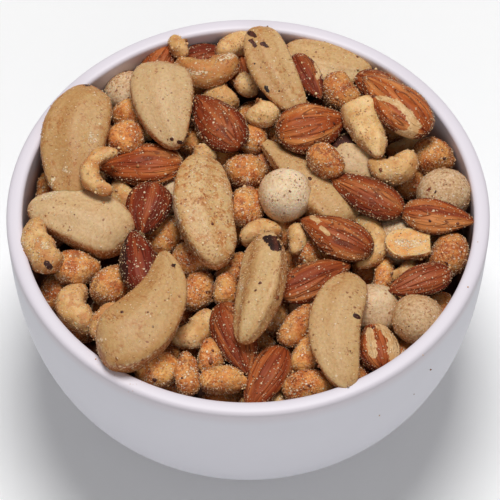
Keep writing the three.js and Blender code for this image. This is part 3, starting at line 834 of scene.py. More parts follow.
nuts = settle(nuts_in_layers())
heights = sorted(nut["middle"][2] - RIM_HEIGHT for nut in nuts)
print(f"{len(nuts)} nuts settled, their middles {heights[0]:.1f} to {heights[-1]:.1f} mm over the rim")

# %% [markdown]
# Under the nuts that show lies a dark core, and rows of small nuts are half sunk in it wherever there is
# room. A settled nut that hangs in the air then falls down the line of sight until it rests on something,
# which moves nothing sideways for the viewer.

# %% Filling in and falling down
CORE_DEPTH, CORE_RISE = 12, 4.5
FALL, RESTING = 0.4, 0.8
FILLER_SPACING, FILLER_LENGTH, FILLER_WIDTH, FILLER_SUNK, FILLER_TURN = 12.5, 13.5, 11.5, 1.2, 2.4


def core_height(y):
    return RIM_HEIGHT - CORE_DEPTH + CORE_RISE * np.maximum(y / INNER_RADIUS, 0) ** 2


def gaps_between(nut, other):
    """The distances of two nuts' balls, and the sums of their radii."""
    apart = (nut["centres"] + nut["middle"])[:, None] - (other["centres"] + other["middle"])[None]
    return np.linalg.norm(apart, axis=2), nut["radii"][:, None] + other["radii"][None]


def rests(nut, heaped):
    """Whether a nut lies on the core or on another nut."""
    at = nut["centres"] + nut["middle"]
    if (at[:, 2] < core_height(at[:, 1]) + nut["radii"] * (2 * SOFTNESS - 1)).any():
        return True
    for other in heaped:
        distance, radii = gaps_between(nut, other)
        if (distance < radii * RESTING).any():
            return True
    return False


def small_nut(x, y, height, turn, size=1.0):
    nut = {**KINDS["peanut"], "kind": "peanut"}
    nut["length"], nut["width"] = FILLER_LENGTH * size, FILLER_WIDTH * size
    nut["angles"] = {"raised": 0, "rolled": 0, "heading": math.degrees(turn)}
    nut["turn"] = turn_of(nut["angles"])
    nut["middle"] = np.array((x, y, height))
    nut["centres"], nut["radii"] = stand_in_balls(nut)
    return nut


def is_free(nut, others, room):
    """Whether a nut's middle is clear of the other nuts."""
    for other in others:
        distance = np.linalg.norm(other["centres"] + other["middle"] - nut["middle"], axis=1)
        if (distance < (other["radii"] + nut["width"] / 2) * room).any():
            return False
    return True


def fillers(others):
    """Rows of small nuts on the core, wherever nothing else lies."""
    found = []
    rows = math.ceil(INNER_RADIUS / FILLER_SPACING)
    for row in range(-rows, rows + 1):
        for column in range(-rows, rows + 1):
            x = (column + math.fmod(row, 2) / 2) * FILLER_SPACING
            y = row * FILLER_SPACING * math.sin(math.pi / 3)
            nut = small_nut(x, y, core_height(y) - FILLER_SUNK, (row * 5 + column * 3) * FILLER_TURN)
            inside = math.hypot(x, y) <= wall_radius(CORE_DEPTH) - nut["length"] / 2
            if inside and is_free(nut, others, 1):
                found.append(nut)
    return found


def fall(settled, heaped):
    """The lowest nut falls first. What has fallen joins the heap."""
    for nut in sorted(settled, key=lambda nut: nut["middle"][2]):
        sight = VIEWER - nut["home"]
        while not rests(nut, heaped):
            nut["middle"] = nut["middle"] - FALL * sight / np.linalg.norm(sight)
        heaped.append(nut)
    return heaped


heaped = fall(nuts, fillers(nuts))
print(f"{len(heaped)} nuts in the heap, the highest middle {max(n['middle'][2] for n in heaped):.1f} mm up")

# %% [markdown]
# The solid's core is closed right under the nuts. The real heap has more nuts down there, seen only as
# dark shapes between the upper ones. So the scene's own core lies deeper, and small nuts of uneven size
# are laid at random into the gaps above it, wherever one fits.

# %% Small nuts in the gaps
DEEPER = 9
GAP_LEVELS = (CORE_DEPTH + 5, CORE_DEPTH + 1.5)
GAP_TRIES, GAP_ROOM, GAP_MARGIN = 1400, 0.86, 7
TURN = 6.3  # about a full turn, in radians

chance = np.random.default_rng(11)
hidden = []
for level in GAP_LEVELS:
    for attempt in range(GAP_TRIES):
        out = (wall_radius(level) - GAP_MARGIN) * math.sqrt(chance.random())
        around = chance.random() * 2 * math.pi
        x, y = out * math.cos(around), out * math.sin(around)
        height = core_height(y) + CORE_DEPTH - level + chance.uniform(-1, 1)
        nut = small_nut(x, y, height, chance.random() * TURN, chance.uniform(0.75, 1))
        if is_free(nut, heaped + hidden, GAP_ROOM):
            nut["angles"]["raised"] = chance.uniform(-40, 40)
            nut["angles"]["rolled"] = chance.uniform(0, 360)
            hidden.append(nut)
print(f"{len(hidden)} small nuts in the gaps")

# %% [markdown]
# ## From balls to nuts
# All nuts of a kind are one mesh. One ball, its poles on X, is made by the sphere operator and repeated as
# often as the kind has nuts; then its points are moved. The operator hands out its faces in an order that
# can change from run to run, so they are sorted first, and each starts at its lowest point.


# %% Repeating a mesh
def shape_points(builder):
    """The points and the faces of a bmesh, the faces in the same order in every run."""
    builder.verts.ensure_lookup_table()
    points = np.array([corner.co for corner in builder.verts])
    faces = []
    for face in builder.faces:
        corners = [corner.index for corner in face.verts]
        first = corners.index(min(corners))
        faces.append(corners[first:] + corners[:first])
    builder.free()
    return points, sorted(faces)


def unit_ball(sides, rings):
    """A ball of radius 1 with its poles on X."""
    builder = bmesh.new()
    bmesh.ops.create_uvsphere(builder, u_segments=sides, v_segments=rings, radius=1)
    quarter = Matrix.Rotation(math.pi / 2, 3, "Y")
    bmesh.ops.rotate(builder, verts=builder.verts, matrix=quarter, cent=(0, 0, 0))
    builder.verts.index_update()
    return shape_points(builder)


def repeated(name, places, faces, smooth=True):
    """A piece from copies of one shape: places holds every copy's own points, in millimetres."""
    copies, count = places.shape[:2]
    sizes = np.array([len(face) for face in faces])
    corners = np.concatenate(faces)
    every = (np.arange(copies)[:, None] * count + corners).ravel()
    starts = np.concatenate([[0], np.cumsum(np.tile(sizes, copies))[:-1]])
    mesh = bpy.data.meshes.new(name)
    mesh.vertices.add(copies * count)
    mesh.vertices.foreach_set("co", (places * MM).ravel().astype(np.float32))
    mesh.loops.add(len(every))
    mesh.loops.foreach_set("vertex_index", every.astype(np.int32))
    mesh.polygons.add(len(starts))
    mesh.polygons.foreach_set("loop_start", starts.astype(np.int32))
    mesh.update(calc_edges=True)
    mesh.validate()
    return linked_piece(name, mesh, smooth)


def triangles_of(piece):
    return sum(len(face.vertices) - 2 for face in piece.data.polygons)


# %% [markdown]
# No nut is smooth or even. Slow waves in random directions, added up, make soft lumps of a chosen size, and
# each kind has its own relief: the ridged skin of an almond, the crease inside a cashew, the split of a
# peanut.


# %% Relief
def lumps(points, size, seed, waves=8):
    """Uneven from -1 to 1, with lumps of about this size."""
    random = np.random.default_rng(seed)
    ways = random.normal(size=(waves, 3))
    ways *= (2 * np.pi / size * random.uniform(0.6, 1.3, waves) / np.linalg.norm(ways, axis=1))[:, None]
    return np.sin(points @ ways.T + random.uniform(0, TURN, waves)).sum(1) / waves ** 0.5


def dent(value, middle, width):
    """1 at the middle, falling softly to 0 on both sides."""
    return np.exp(-(((value - middle) / width) ** 2))


def brazil_relief(skin, along, around, seed):
    ridges = lumps(np.stack([skin[:, 0] * 0.08, np.cos(around) * 4, np.sin(around) * 4], 1), 3.4, seed + 1)
    return 0.24 * lumps(skin, 19, seed) + 0.06 * lumps(skin, 5, seed + 2) + 0.15 * ridges


def almond_relief(skin, along, around, seed):
    ribs = np.stack([skin[:, 0] * 0.13, np.cos(around) * 6, np.sin(around) * 6], 1)
    ribbed = 0.08 * lumps(ribs, 2.6, seed + 1) + 0.09 * lumps(ribs, 1.4, seed + 2)
    return 0.2 * lumps(skin, 12, seed) + (1 - 0.4 * along ** 2) * ribbed


def cashew_relief(skin, along, around, seed):
    crease = 0.7 * dent(around, 0, 0.35) * (1 - along ** 2)
    return 0.38 * lumps(skin, 9, seed) + 0.16 * lumps(skin, 3.6, seed + 1) - crease


def peanut_relief(skin, along, around, seed):
    split = (seed % 3) * 0.2 * dent(np.sin(around), 0, 0.12) * (1 - along ** 4)
    tip = (seed % 4) * 0.35 * dent(along, 1, 0.07)
    return 0.4 * lumps(skin, 9, seed) + 0.12 * lumps(skin, 2.6, seed + 1) - split + tip


def half_relief(skin, along, around, seed):
    return 0.25 * lumps(skin, 6, seed) + 0.1 * lumps(skin, 2.5, seed + 1)


def macadamia_relief(skin, along, around, seed):
    return 0.28 * lumps(skin, 13, seed) + 0.07 * lumps(skin, 4, seed + 1)


RELIEFS = {
    "brazil": brazil_relief, "almond": almond_relief, "cashew": cashew_relief, "peanut": peanut_relief,
    "half": half_relief, "macadamia": macadamia_relief,
}
print("reliefs:", ", ".join(RELIEFS))

# %% [markdown]
# A point of the ball is moved along and across the bent middle line, and its relief is added. Some forms
# belong to a few nuts only: the three blunt edges of a brazil nut, the flat side of a peanut, the split face
# of a half, and a broken tip. Marks are found where the viewer sees them.


# %% Where the marks are
def seen_places(points):
    """Where the viewer sees these points in the plane of the rim."""
    share = (VIEWER[2] - RIM_HEIGHT) / (VIEWER[2] - points[:, 2])
    return (VIEWER + (points - VIEWER) * share[:, None])[:, :2]


def patch(points, runs):
    """1 along the middle of each run of marks, falling to 0 outside it."""
    found = np.zeros(len(points))
    seen = seen_places(points)
    for run in runs:
        for start, end in zip(run, run[1:] or run):
            start, step = np.array(start), np.array(end) - start
            share = ((seen - start[:2]) @ step[:2]) / max(step[:2] @ step[:2], 1e-9)
            nearest = start + np.clip(share, 0, 1)[:, None] * step
            distance = np.hypot(*(seen - nearest[:, :2]).T) / nearest[:, 2]
            found = np.maximum(found, np.clip(1.5 - distance, 0, 1))
    return found


# %% Edges, flat sides and splits
SPLIT_SOFTNESS, GROOVE_DEPTH, GROOVE_WIDTH, GROOVE_REACH = 1.2, 0.9, 0.8, 0.75
BREAK_SOFTNESS = 0.06


def three_edged(around, ridge):
    """How much wider a brazil nut is at its three blunt edges, and narrower between them."""
    to_ridge = np.abs((around / math.tau * 3 + 0.25) % 1 - 0.5)
    return 1 + ridge * (2.2 * dent(to_ridge, 0, 0.15) - 0.5)


def flat_sided(across, width, seed):
    """Peanuts grow side by side in their shell, which flattens them a little, some more than others."""
    side = width / 2 * (0.62 + 0.1 * (seed % 3))
    return np.where(across > side, side + 0.3 * (across - side), across)


def split_in_two(nut, along, across, up):
    """A half ends in a flat face with a groove along its middle: the new height, and where the face is."""
    face = nut["width"] * nut["flat"]
    cut = np.clip((up - face) / SPLIT_SOFTNESS, 0, 1)
    groove = GROOVE_DEPTH * dent(across, 0, GROOVE_WIDTH) * (np.abs(along) < GROOVE_REACH)
    return np.minimum(up, face - cut * groove), cut


# %% Shaping a nut
HIGHEST = cad_box[1][2] / MM - 0.1
GROWN_ALONG = 0.6  # how far the relief also moves the ends of a nut outwards


def shaped(nut, ball, seed):
    """A nut's points in the bowl, their places on the skin and round it, and where the nut is cut."""
    nut = {**nut, **nut.get("drawn", {})}
    turn = turn_of({**nut["angles"], **nut.get("drawn", {})})
    broken = nut.get("broken", 1)
    along, around = np.minimum(ball[:, 0], broken), np.arctan2(ball[:, 2], ball[:, 1])
    round_here = np.minimum(np.hypot(ball[:, 1], ball[:, 2]), 1)
    half = half_width(nut, along, round_here, "finer" if "finer" in nut else "girth")
    if "ridge" in nut:
        half *= three_edged(around, nut["ridge"])
    smooth_across, up = half * np.cos(around), half * nut["thick"] * np.sin(around)
    across = flat_sided(smooth_across, nut["width"], seed) if nut["kind"] == "peanut" else smooth_across
    skin = ball * np.array((nut["length"], nut["width"], nut["width"])) / 2
    grow = RELIEFS[nut["kind"]](skin, along, around, seed)
    across = across + grow * np.cos(around) * round_here
    up = up + grow * np.sin(around) * round_here
    cut = along * 0
    if "flat" in nut:
        up, cut = split_in_two(nut, along, smooth_across, up)
    if broken < 1:
        cut = np.maximum(cut, np.clip((ball[:, 0] - broken) / BREAK_SOFTNESS, 0, 1))
    x, y, across_x, across_y = spine(nut, along)
    grown = grow * along * GROWN_ALONG
    points = np.stack([x + across_x * across + grown, y + across_y * across, up], 1) @ turn.T
    points += nut["middle"] + nut.get("shift", (0, 0, 0))
    points[:, 2] -= max(0, points[:, 2].max() - HIGHEST)
    return points, skin, around, cut


print("for shaping: three_edged, flat_sided, split_in_two, shaped")

# %% [markdown]
# Each kind becomes one piece. Its points also carry what the finish needs: the place on the skin, a place
# that winds round the nut's axis for streaks along it, how dark the nut is roasted and how brown it is, the
# marks, and how far a point faces away from the viewer's side, which the finishes turn into painted shade.
# Every nut has its own stretch of the noise.

# %% The nuts
MARKS = ("dark", "bare", "sugared")
SIGHT = VIEWER / np.linalg.norm(VIEWER)
# Halfway between the viewer and straight up: points turned from it get the nuts' painted shade.
FACING = (SIGHT + (0, 0, 1)) / np.linalg.norm(SIGHT + (0, 0, 1))
GRAIN_RADIUS = 5


def make_nuts(name, kinds, sides, rings):
    """One piece for a kind of nut, with its values for the finish."""
    listed = [nut for nut in heaped + hidden if nut["kind"] in kinds]
    ball, faces = unit_ball(sides, rings)
    chance = np.random.default_rng(len(listed))
    places = []
    values = {label: [] for label in ("skin", "grain", "tone", "shade", "cut", *MARKS)}
    shades = np.random.default_rng(len(listed) + 1).uniform(0, 0.45, len(listed))
    for i, nut in enumerate(listed):
        points, skin, around, cut = shaped(nut, ball, 100 * i + 7)
        shift = chance.uniform(-400, 400, 3)
        direction = np.stack([skin[:, 0], np.cos(around) * GRAIN_RADIUS, np.sin(around) * GRAIN_RADIUS], 1)
        places.append(points)
        values["skin"].append(skin + shift)
        values["grain"].append(direction + shift)
        values["tone"].append(np.full(len(ball), nut.get("tone", chance.uniform(0.1, 0.6))))
        values["shade"].append(np.full(len(ball), nut.get("shade", shades[i])))
        values["cut"].append(cut)
        for label in MARKS:
            values[label].append(patch(points, nut.get(label, [])))
    piece = repeated(name, np.array(places), faces)
    for label, held in values.items():
        remember(piece, label, np.array(held))
    # side: how far a point faces away from the viewer and from above, for the painted shade.
    remember(piece, "side", 1 - np.clip(normals_of(piece) @ FACING, 0, 1))
    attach(piece, "root")
    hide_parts("nut_heap")
    print(f"{name}: {len(listed)} nuts, {triangles_of(piece)} triangles")
    return piece


brazil_nuts = make_nuts("brazil_nuts", ("brazil",), sides=90, rings=64)
almonds = make_nuts("almonds", ("almond",), sides=72, rings=50)
cashews = make_nuts("cashews", ("cashew",), sides=36, rings=44)
peanuts = make_nuts("peanuts", ("peanut", "half"), sides=30, rings=22)
macadamias = make_nuts("macadamias", ("macadamia",), sides=40, rings=28)

# %% [markdown]
# ## The core
# What lies under the nuts is never seen as more than brown darkness. It is a turned shape that fills the
# bowl up to below the small nuts, with a lumpy top so that nothing flat shows through a gap.

# %% The core's shape
CORE_STEPS, CORE_RINGS, CORE_SIDES = 30, 26, 90
CORE_LUMPS, CORE_LUMP_SIZE, CORE_MARGIN = 2.2, 13, 6

top = RIM_HEIGHT - CORE_DEPTH - DEEPER
side = wall_points(INNER_RADIUS - WALL_GAP, INNER_DEPTH - WALL_GAP, 1, CORE_DEPTH + DEEPER, CORE_STEPS)
outline = [(0, RIM_HEIGHT - INNER_DEPTH + WALL_GAP)] + side[::-1]
outline += [(r, top) for r in np.linspace(outline[-1][0], 0, CORE_RINGS)[1:]]
builder = spun(outline, CORE_SIDES)
for corner in builder.verts:
    if corner.co.z > top - 1 and math.hypot(corner.co.x, corner.co.y) < INNER_RADIUS - CORE_MARGIN:
        corner.co.z += CORE_LUMPS * lumps(np.array([corner.co[:]]), CORE_LUMP_SIZE, 5)[0]
core = finished_mesh("core", builder)
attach(core, "root")
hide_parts("nut_heap")
print("the core:", triangles_of(core), "triangles")

# %% [markdown]
# ## The nuts' skins
# Here and there a patch of dark skin is left on a nut, its skin is rubbed off, or sugar lies in a small
# heap. Such patches are marked on the mesh, and noise makes their edges ragged, so that they look torn and
# not painted.


# %% Patches, sugar and crust
def torn(tree, name, place, size=1.6):
    """A marked patch with a ragged edge."""
    ragged = noise(tree, place, 1 / size, 5.0, roughness=0.7)
    return mask(tree, total(tree, carried(tree, name), product(tree, ragged, 2.0)), 1.5, 1.58)


def frosted(tree, base, place, amount, sugar, strength=0.8):
    """Sugar over a colour: the frosted colour, and the frosting's mask."""
    grains_here = placed(tree, frosting, place, Amount=amount)
    heaps = mask(tree, noise(tree, place, 1.9, 3.0), 0.46, 0.56)
    heaped_here = product(tree, heaps, torn(tree, "sugared", place, 1.5))
    sugar_here = combined(tree, "MAXIMUM", grains_here, heaped_here)
    return tinged(tree, base, sugar_here, strength, sugar), sugar_here


def crusted(tree, base, place, size, strength, pits, tops):
    """A crust that is darker in its pits and lighter on its tops: the colour and the height."""
    crust = placed(tree, crusts, place, Size=size)
    base = tinged(tree, base, mask(tree, crust, 0.45, 0.1), strength, pits)
    return tinged(tree, base, mask(tree, crust, 0.55, 0.95), strength, tops), crust


print("for the skins: torn, frosted, crusted")

# %% [markdown]
# All kinds are painted paler on their crowns than round their sides, which face away from the viewer and
# the light: that darker edge is partly the nuts' toasting and partly painted shade. Some nuts are browner
# than others, and the pan has roasted darker patches into them. The mesh carries how far round its side a
# point is and how dark its nut is, and these drive the colours.


# %% What the skins share
LIGHT_REACH = 1.6
REDDER_LIGHT = (1.0, 0.45, 0.2)


def new_skin(name):
    """A finish, with the places on the skin and along the grain, and how dark and how far round they are."""
    finish, tree = new_finish(name)
    places = [carried(tree, label, "Vector") for label in ("skin", "grain")]
    return finish, tree, *places, carried(tree, "tone"), carried(tree, "side")


def toast_and_shade_edge_of(tree, place, side, low, high, detail=4.0, ragged=0.4):
    """1 round a nut's sides and 0 on its crown, with an uneven border: its toasting and painted shade."""
    return mask(tree, total(tree, side, product(tree, blotches(tree, place, 4, detail), ragged)), low, high)


def roasted(tree, place, size, detail, tone, share, low, high):
    """Darker patches, more of them on a darker nut."""
    patches = blotches(tree, place, size, detail)
    return mask(tree, total(tree, patches, product(tree, tone, share)), low, high)


def flecked(tree, place, fleck_size, flecks_share, spot_size, spots_share):
    """Flecks and round specks together."""
    bits = placed(tree, flecks, place, Size=fleck_size, Share=flecks_share)
    specks = placed(tree, spots, place, Size=spot_size, Share=spots_share)
    return combined(tree, "MAXIMUM", bits, specks)


def shaded(tree, base):
    """Some nuts are browner all over than others of their kind."""
    return mixed(tree, carried(tree, "shade"), base, tint(225, 205, 180), "MULTIPLY")


def dress_nuts(nuts, finish, body, normal, roughness=0.5, shine=0.3, flesh=0.0):
    """Oily flesh lets light in a little way, red further than blue, which warms its shadows."""
    dress([nuts], finish, {
        "Base Color": body, "Normal": normal, "Roughness": roughness, "Specular IOR Level": shine,
        "Subsurface Weight": flesh, "Subsurface Radius": REDDER_LIGHT, "Subsurface Scale": LIGHT_REACH * MM,
    })
    print(f"{nuts.name}: {finish.name}, of {len(finish.node_tree.nodes)} nodes")


# %% [markdown]
# A blanched brazil nut is cream on its crown and orange-brown towards its edges, partly toasted and partly
# painted shade, and sugar and brown dust cling there. Long, faint streaks run along it, and a scrap of its
# dark skin may be left.

# %% Brazil nuts
finish, tree, place, grain, tone, side = new_skin("brazil_nut")
broad = mask(tree, placed(tree, streaks, grain, Length=34.0, Width=2.6), 0.3, 0.7)
body = colours(tree, broad, (0.0, (217, 183, 132)), (0.5, (210, 171, 117)), (1.0, (198, 153, 96)))
body = tinged(tree, body, mask(tree, tone, 0.24, 0.04), 0.55, (216, 187, 146))
lines = placed(tree, streaks, grain, Length=26.0, Width=0.9)
body = tinged(tree, body, mask(tree, lines, 0.5, 0.7), 0.2, (186, 138, 82))
# Orange-brown round the edges: toasting, and painted shade.
toast_and_shade_edge = toast_and_shade_edge_of(tree, place, side, 0.3, 1.05, ragged=0.35)
body = tinged(tree, body, toast_and_shade_edge, 0.9, (182, 100, 32))
stained = roasted(tree, place, 3, 5.0, tone, 0.45, 0.85, 1.35)
body = tinged(tree, body, stained, 0.7, (188, 116, 48))
rough_here = total(tree, product(tree, toast_and_shade_edge, 0.55), product(tree, stained, 0.3), 0.17)
body, crust = crusted(tree, body, place, 0.9, rough_here, (158, 96, 46), (236, 208, 162))
body = shaded(tree, body)
share = total(tree, product(tree, product(tree, tone, tone), 0.24), product(tree, toast_and_shade_edge, 0.08))
body = tinged(tree, body, placed(tree, flecks, place, Size=0.8, Share=share), 0.65, (150, 80, 34))
body = tinged(tree, body, placed(tree, spots, place, Size=0.55, Share=0.035), 0.8, (132, 72, 36))
amount = total(tree, product(tree, toast_and_shade_edge, 0.32), product(tree, tone, 0.16), 0.02)
body, sugar_here = frosted(tree, body, place, amount, (244, 220, 184))
dark_skin = torn(tree, "dark", place)
body = mixed(tree, dark_skin, body, colours(tree, lines, (0.35, (34, 16, 12)), (0.65, (84, 36, 20))))
height = total(tree, dark_skin, sugar_here, product(tree, lines, 0.4), product(tree, crust, 0.35))
dress_nuts(brazil_nuts, finish, body, relief(tree, height, 0.16), shine=0.35, flesh=0.4)

# %% [markdown]
# An almond wears a thin red-brown skin that shrank on it in lengthwise ribs: light between thin dark veins,
# and dark red-brown all round its edge, partly darker skin and partly painted shade. The veins are noise
# drawn out along the nut, wrapped round it so that they meet at the tips.

# %% Almonds
finish, tree, place, grain, tone, side = new_skin("almond_skin")
ribs = placed(tree, streaks, grain, Length=14.0, Width=1.5)
coarse = placed(tree, veins, grain, Length=11.0, Width=1.5, Thin=0.05)
fine = placed(tree, veins, grain, Length=6.0, Width=0.7, Thin=0.06)
fading = mask(tree, blotches(tree, place, 3), 0.25, 0.6)
coarse = product(tree, coarse, total(tree, product(tree, fading, 0.5), 0.5))
light_skin = colours(tree, ribs, (0.34, (150, 64, 28)), (0.5, (188, 98, 44)), (0.64, (220, 144, 80)))
dark_tone = colours(tree, ribs, (0.34, (98, 30, 16)), (0.5, (126, 44, 22)), (0.64, (158, 74, 38)))
body = mixed(tree, tone, light_skin, dark_tone)
# Dark red-brown round the edge: darker skin, and painted shade.
toast_and_shade_edge = toast_and_shade_edge_of(tree, place, side, 0.24, 1.0, detail=3.0, ragged=0.35)
body = tinged(tree, body, toast_and_shade_edge, 0.85, (84, 20, 5))
body = tinged(tree, body, coarse, 0.75, (90, 32, 15))
body = tinged(tree, body, fine, 0.3, (104, 46, 26))
flesh = mixed(tree, blotches(tree, place, 2), tint(226, 190, 142), tint(206, 158, 104))
body = mixed(tree, torn(tree, "bare", place, 1.3), body, flesh)
body = mixed(tree, torn(tree, "dark", place, 1.3), body, tint(64, 30, 24))
body = shaded(tree, body)
amount = total(tree, product(tree, toast_and_shade_edge, 0.45), product(tree, tone, 0.12), 0.05)
body, sugar_here = frosted(tree, body, place, amount, (240, 214, 178), 0.85)
grooves = total(tree, product(tree, coarse, -0.7), product(tree, fine, -0.3))
height = total(tree, product(tree, sugar_here, 0.4), grooves, product(tree, ribs, 0.8))
dress_nuts(almonds, finish, body, relief(tree, height, 0.3), shine=0.16)

# %% [markdown]
# Cashews roast to gold, with orange patches where they touched the pan, and the honey makes sugar stick to
# them in patches.

# %% Cashews
finish, tree, place, grain, tone, side = new_skin("roasted_cashew")
gold = blotches(tree, place, 6, 3.0)
body = colours(tree, gold, (0.0, (238, 200, 144)), (0.5, (230, 186, 124)), (1.0, (214, 162, 98)))
# Orange round the edges: toasting, and painted shade.
toast_and_shade_edge = toast_and_shade_edge_of(tree, place, side, 0.42, 1.15)
body = tinged(tree, body, toast_and_shade_edge, 0.8, (178, 90, 24))
rough_here = total(tree, product(tree, toast_and_shade_edge, 0.4), 0.15)
body, crust = crusted(tree, body, place, 0.9, rough_here, (172, 102, 46), (246, 216, 168))
body = shaded(tree, body)
body = tinged(tree, body, roasted(tree, place, 3.6, 4.0, tone, 0.6, 0.75, 1.25), 0.65, (194, 118, 58))
body = tinged(tree, body, flecked(tree, place, 0.7, 0.1, 0.5, 0.08), 0.75, (142, 74, 34))
body = tinged(tree, body, carried(tree, "cut"), 0.8, (240, 214, 168))
amount = total(tree, product(tree, toast_and_shade_edge, 0.4), product(tree, tone, 0.3), 0.1)
body, sugar_here = frosted(tree, body, place, amount, (246, 224, 188))
body = mixed(tree, torn(tree, "dark", place, 1.2), body, tint(74, 42, 36))
lines = placed(tree, streaks, grain, Length=6.0, Width=1.4)
height = total(tree, sugar_here, product(tree, lines, 0.6), product(tree, crust, 0.5))
dress_nuts(cashews, finish, body, relief(tree, height, 0.18), flesh=0.4)

# %% [markdown]
# The honey roasted peanuts are the sweetest: golden on their crowns and dark orange-brown below, which is
# partly roast and partly painted shade, under a crust of sugar grains, and browner where the honey burned a
# little. A half shows its paler inner face.

# %% Peanuts
finish, tree, place, grain, tone, side = new_skin("honey_peanut")
gold = blotches(tree, place, 5, 3.0)
body = colours(tree, gold, (0.0, (246, 188, 110)), (0.5, (238, 158, 80)), (1.0, (206, 112, 48)))
body = tinged(tree, body, tone, 0.65, (170, 80, 28))
# Dark orange-brown round the sides: roast, and painted shade.
toast_and_shade_edge = toast_and_shade_edge_of(tree, place, side, 0.3, 1.15)
body = tinged(tree, body, toast_and_shade_edge, 0.8, (132, 52, 14))
rough_here = total(tree, product(tree, blotches(tree, place, 4.5, 3.0), 0.5), 0.08)
body, crust = crusted(tree, body, place, 0.8, rough_here, (142, 62, 18), (250, 208, 148))
body = shaded(tree, body)
body = tinged(tree, body, roasted(tree, place, 2.6, 4.0, tone, 0.5, 0.85, 1.3), 0.7, (124, 54, 34))
body = tinged(tree, body, placed(tree, flecks, place, Size=0.7, Share=0.08), 0.7, (112, 48, 24))
cut_face = carried(tree, "cut")
inner_face = mixed(tree, blotches(tree, place, 5), tint(232, 156, 82), tint(240, 192, 128))
split_face = mixed(tree, mask(tree, cut_face, 0.2, 0.5), tint(250, 216, 158), inner_face)
body = mixed(tree, mask(tree, cut_face, 0.0, 0.2), body, split_face)
sweeter = blotches(tree, place, 5.5)
amount = total(tree, product(tree, toast_and_shade_edge, 0.15), product(tree, sweeter, 0.6), 0.1)
body, sugar_here = frosted(tree, body, place, amount, (252, 230, 200), 0.95)
height = total(tree, product(tree, crust, 0.7), sugar_here)
dress_nuts(peanuts, finish, body, relief(tree, height, 0.2), flesh=0.3)

# %% [markdown]
# Macadamias are round and pale, almost white on their crowns and browner round their sides, partly toasted
# and partly painted shade, with crowded brown flecks and a fine dust of sugar round their sides.

# %% Macadamias
finish, tree, place, grain, tone, side = new_skin("macadamia")
pale = blotches(tree, place, 9, 3.0)
body = colours(tree, pale, (0.0, (242, 218, 182)), (0.6, (234, 206, 168)), (1.0, (222, 190, 148)))
body = tinged(tree, body, tone, 0.4, (194, 152, 106))
# Browner round the sides: toasting, and painted shade.
toast_and_shade_edge = toast_and_shade_edge_of(tree, place, side, 0.45, 1.2, detail=3.0)
body = tinged(tree, body, toast_and_shade_edge, 0.6, (188, 126, 68))
rough_here = total(tree, product(tree, tone, 0.4), 0.22)
body, crust = crusted(tree, body, place, 0.9, rough_here, (176, 124, 76), (246, 228, 198))
body = shaded(tree, body)
body = tinged(tree, body, flecked(tree, place, 0.7, 0.12, 0.6, 0.12), 0.74, (150, 82, 42))
body = mixed(tree, torn(tree, "dark", place, 0.8), body, tint(122, 52, 30))
amount = total(tree, product(tree, toast_and_shade_edge, 0.45), 0.1)
body, sugar_here = frosted(tree, body, place, amount, (244, 222, 196))
height = total(tree, product(tree, crust, 0.5), sugar_here)
dress_nuts(macadamias, finish, body, relief(tree, height, 0.14), roughness=0.55, flesh=0.4)

# %% [markdown]
# What is left of the light down between the nuts falls on more nuts. They are too dark to tell apart, so the
# core is painted in the dark browns of their shade, with noise and a deep bump in place of shapes.

# %% The dark core
finish, tree = new_finish("nuts_in_the_dark")
uneven = noise(tree, put(tree, "TexCoord").outputs["Object"], 220.0, 4.0)
# Dark browns: the painted shade of the nuts down in the gaps.
body = colours(tree, uneven, (0.35, (52, 24, 12)), (0.55, (96, 50, 26)), (0.7, (128, 74, 40)))
dress([core], finish, {"Base Color": body, "Roughness": 0.8, "Normal": relief(tree, uneven, 1.2)})
print("finishes:", ", ".join(sorted(material.name for material in bpy.data.materials)))

# %% [markdown]
# ## Sugar and crumbs
# The sugar shows as single grains too, which catch the light and roughen the outlines. Each is repeated on
# random places of the nuts' upper sides, and the frosted peanuts get most. What would be inside the next nut
# is left out, which a ray straight up from it tells.


# %% Strewing
def surface_of(piece):
    """The triangles' corners, normals and areas, in millimetres."""
    mesh = piece.data
    mesh.calc_loop_triangles()
    corners = np.empty(len(mesh.vertices) * 3)
    mesh.vertices.foreach_get("co", corners)
    which = np.empty(len(mesh.loop_triangles) * 3, np.int32)
    mesh.loop_triangles.foreach_get("vertices", which)
    points = corners.reshape(-1, 3)[which.reshape(-1, 3)] / MM
    normals = np.cross(points[:, 1] - points[:, 0], points[:, 2] - points[:, 0])
    sizes = np.linalg.norm(normals, axis=1)
    return points, normals / np.maximum(sizes, 1e-9)[:, None], sizes / 2


def tree_of(pieces):
    """All their triangles, in a tree that finds quickly what a ray meets."""
    corners, polygons = [], []
    for piece in pieces:
        points = surface_of(piece)[0].reshape(-1, 3)
        polygons.append(np.arange(len(points)).reshape(-1, 3) + sum(map(len, corners)))
        corners.append(points)
    return BVHTree.FromPolygons(np.concatenate(corners).tolist(), np.concatenate(polygons).tolist())


LOWEST_STREWN, MOST_TURNED, STEEP_GETS_MORE = 60, -0.25, 1.35


def strewn_places(piece, per_square, chance):
    """Random places and normals on the upper sides of a piece, more of them where it is steep."""
    points, normals, areas = surface_of(piece)
    reached = (normals[:, 2] > MOST_TURNED) * (points[:, :, 2].mean(1) > LOWEST_STREWN)
    areas = areas * reached * (STEEP_GETS_MORE - normals[:, 2])
    count = int(areas.sum() * per_square)
    which = chance.choice(len(areas), count, p=areas / areas.sum())
    u, v = chance.random((2, count))
    u, v = np.where(u + v > 1, 1 - u, u), np.where(u + v > 1, 1 - v, v)
    at = points[which]
    at = at[:, 0] + (at[:, 1] - at[:, 0]) * u[:, None] + (at[:, 2] - at[:, 0]) * v[:, None]
    return at, normals[which]


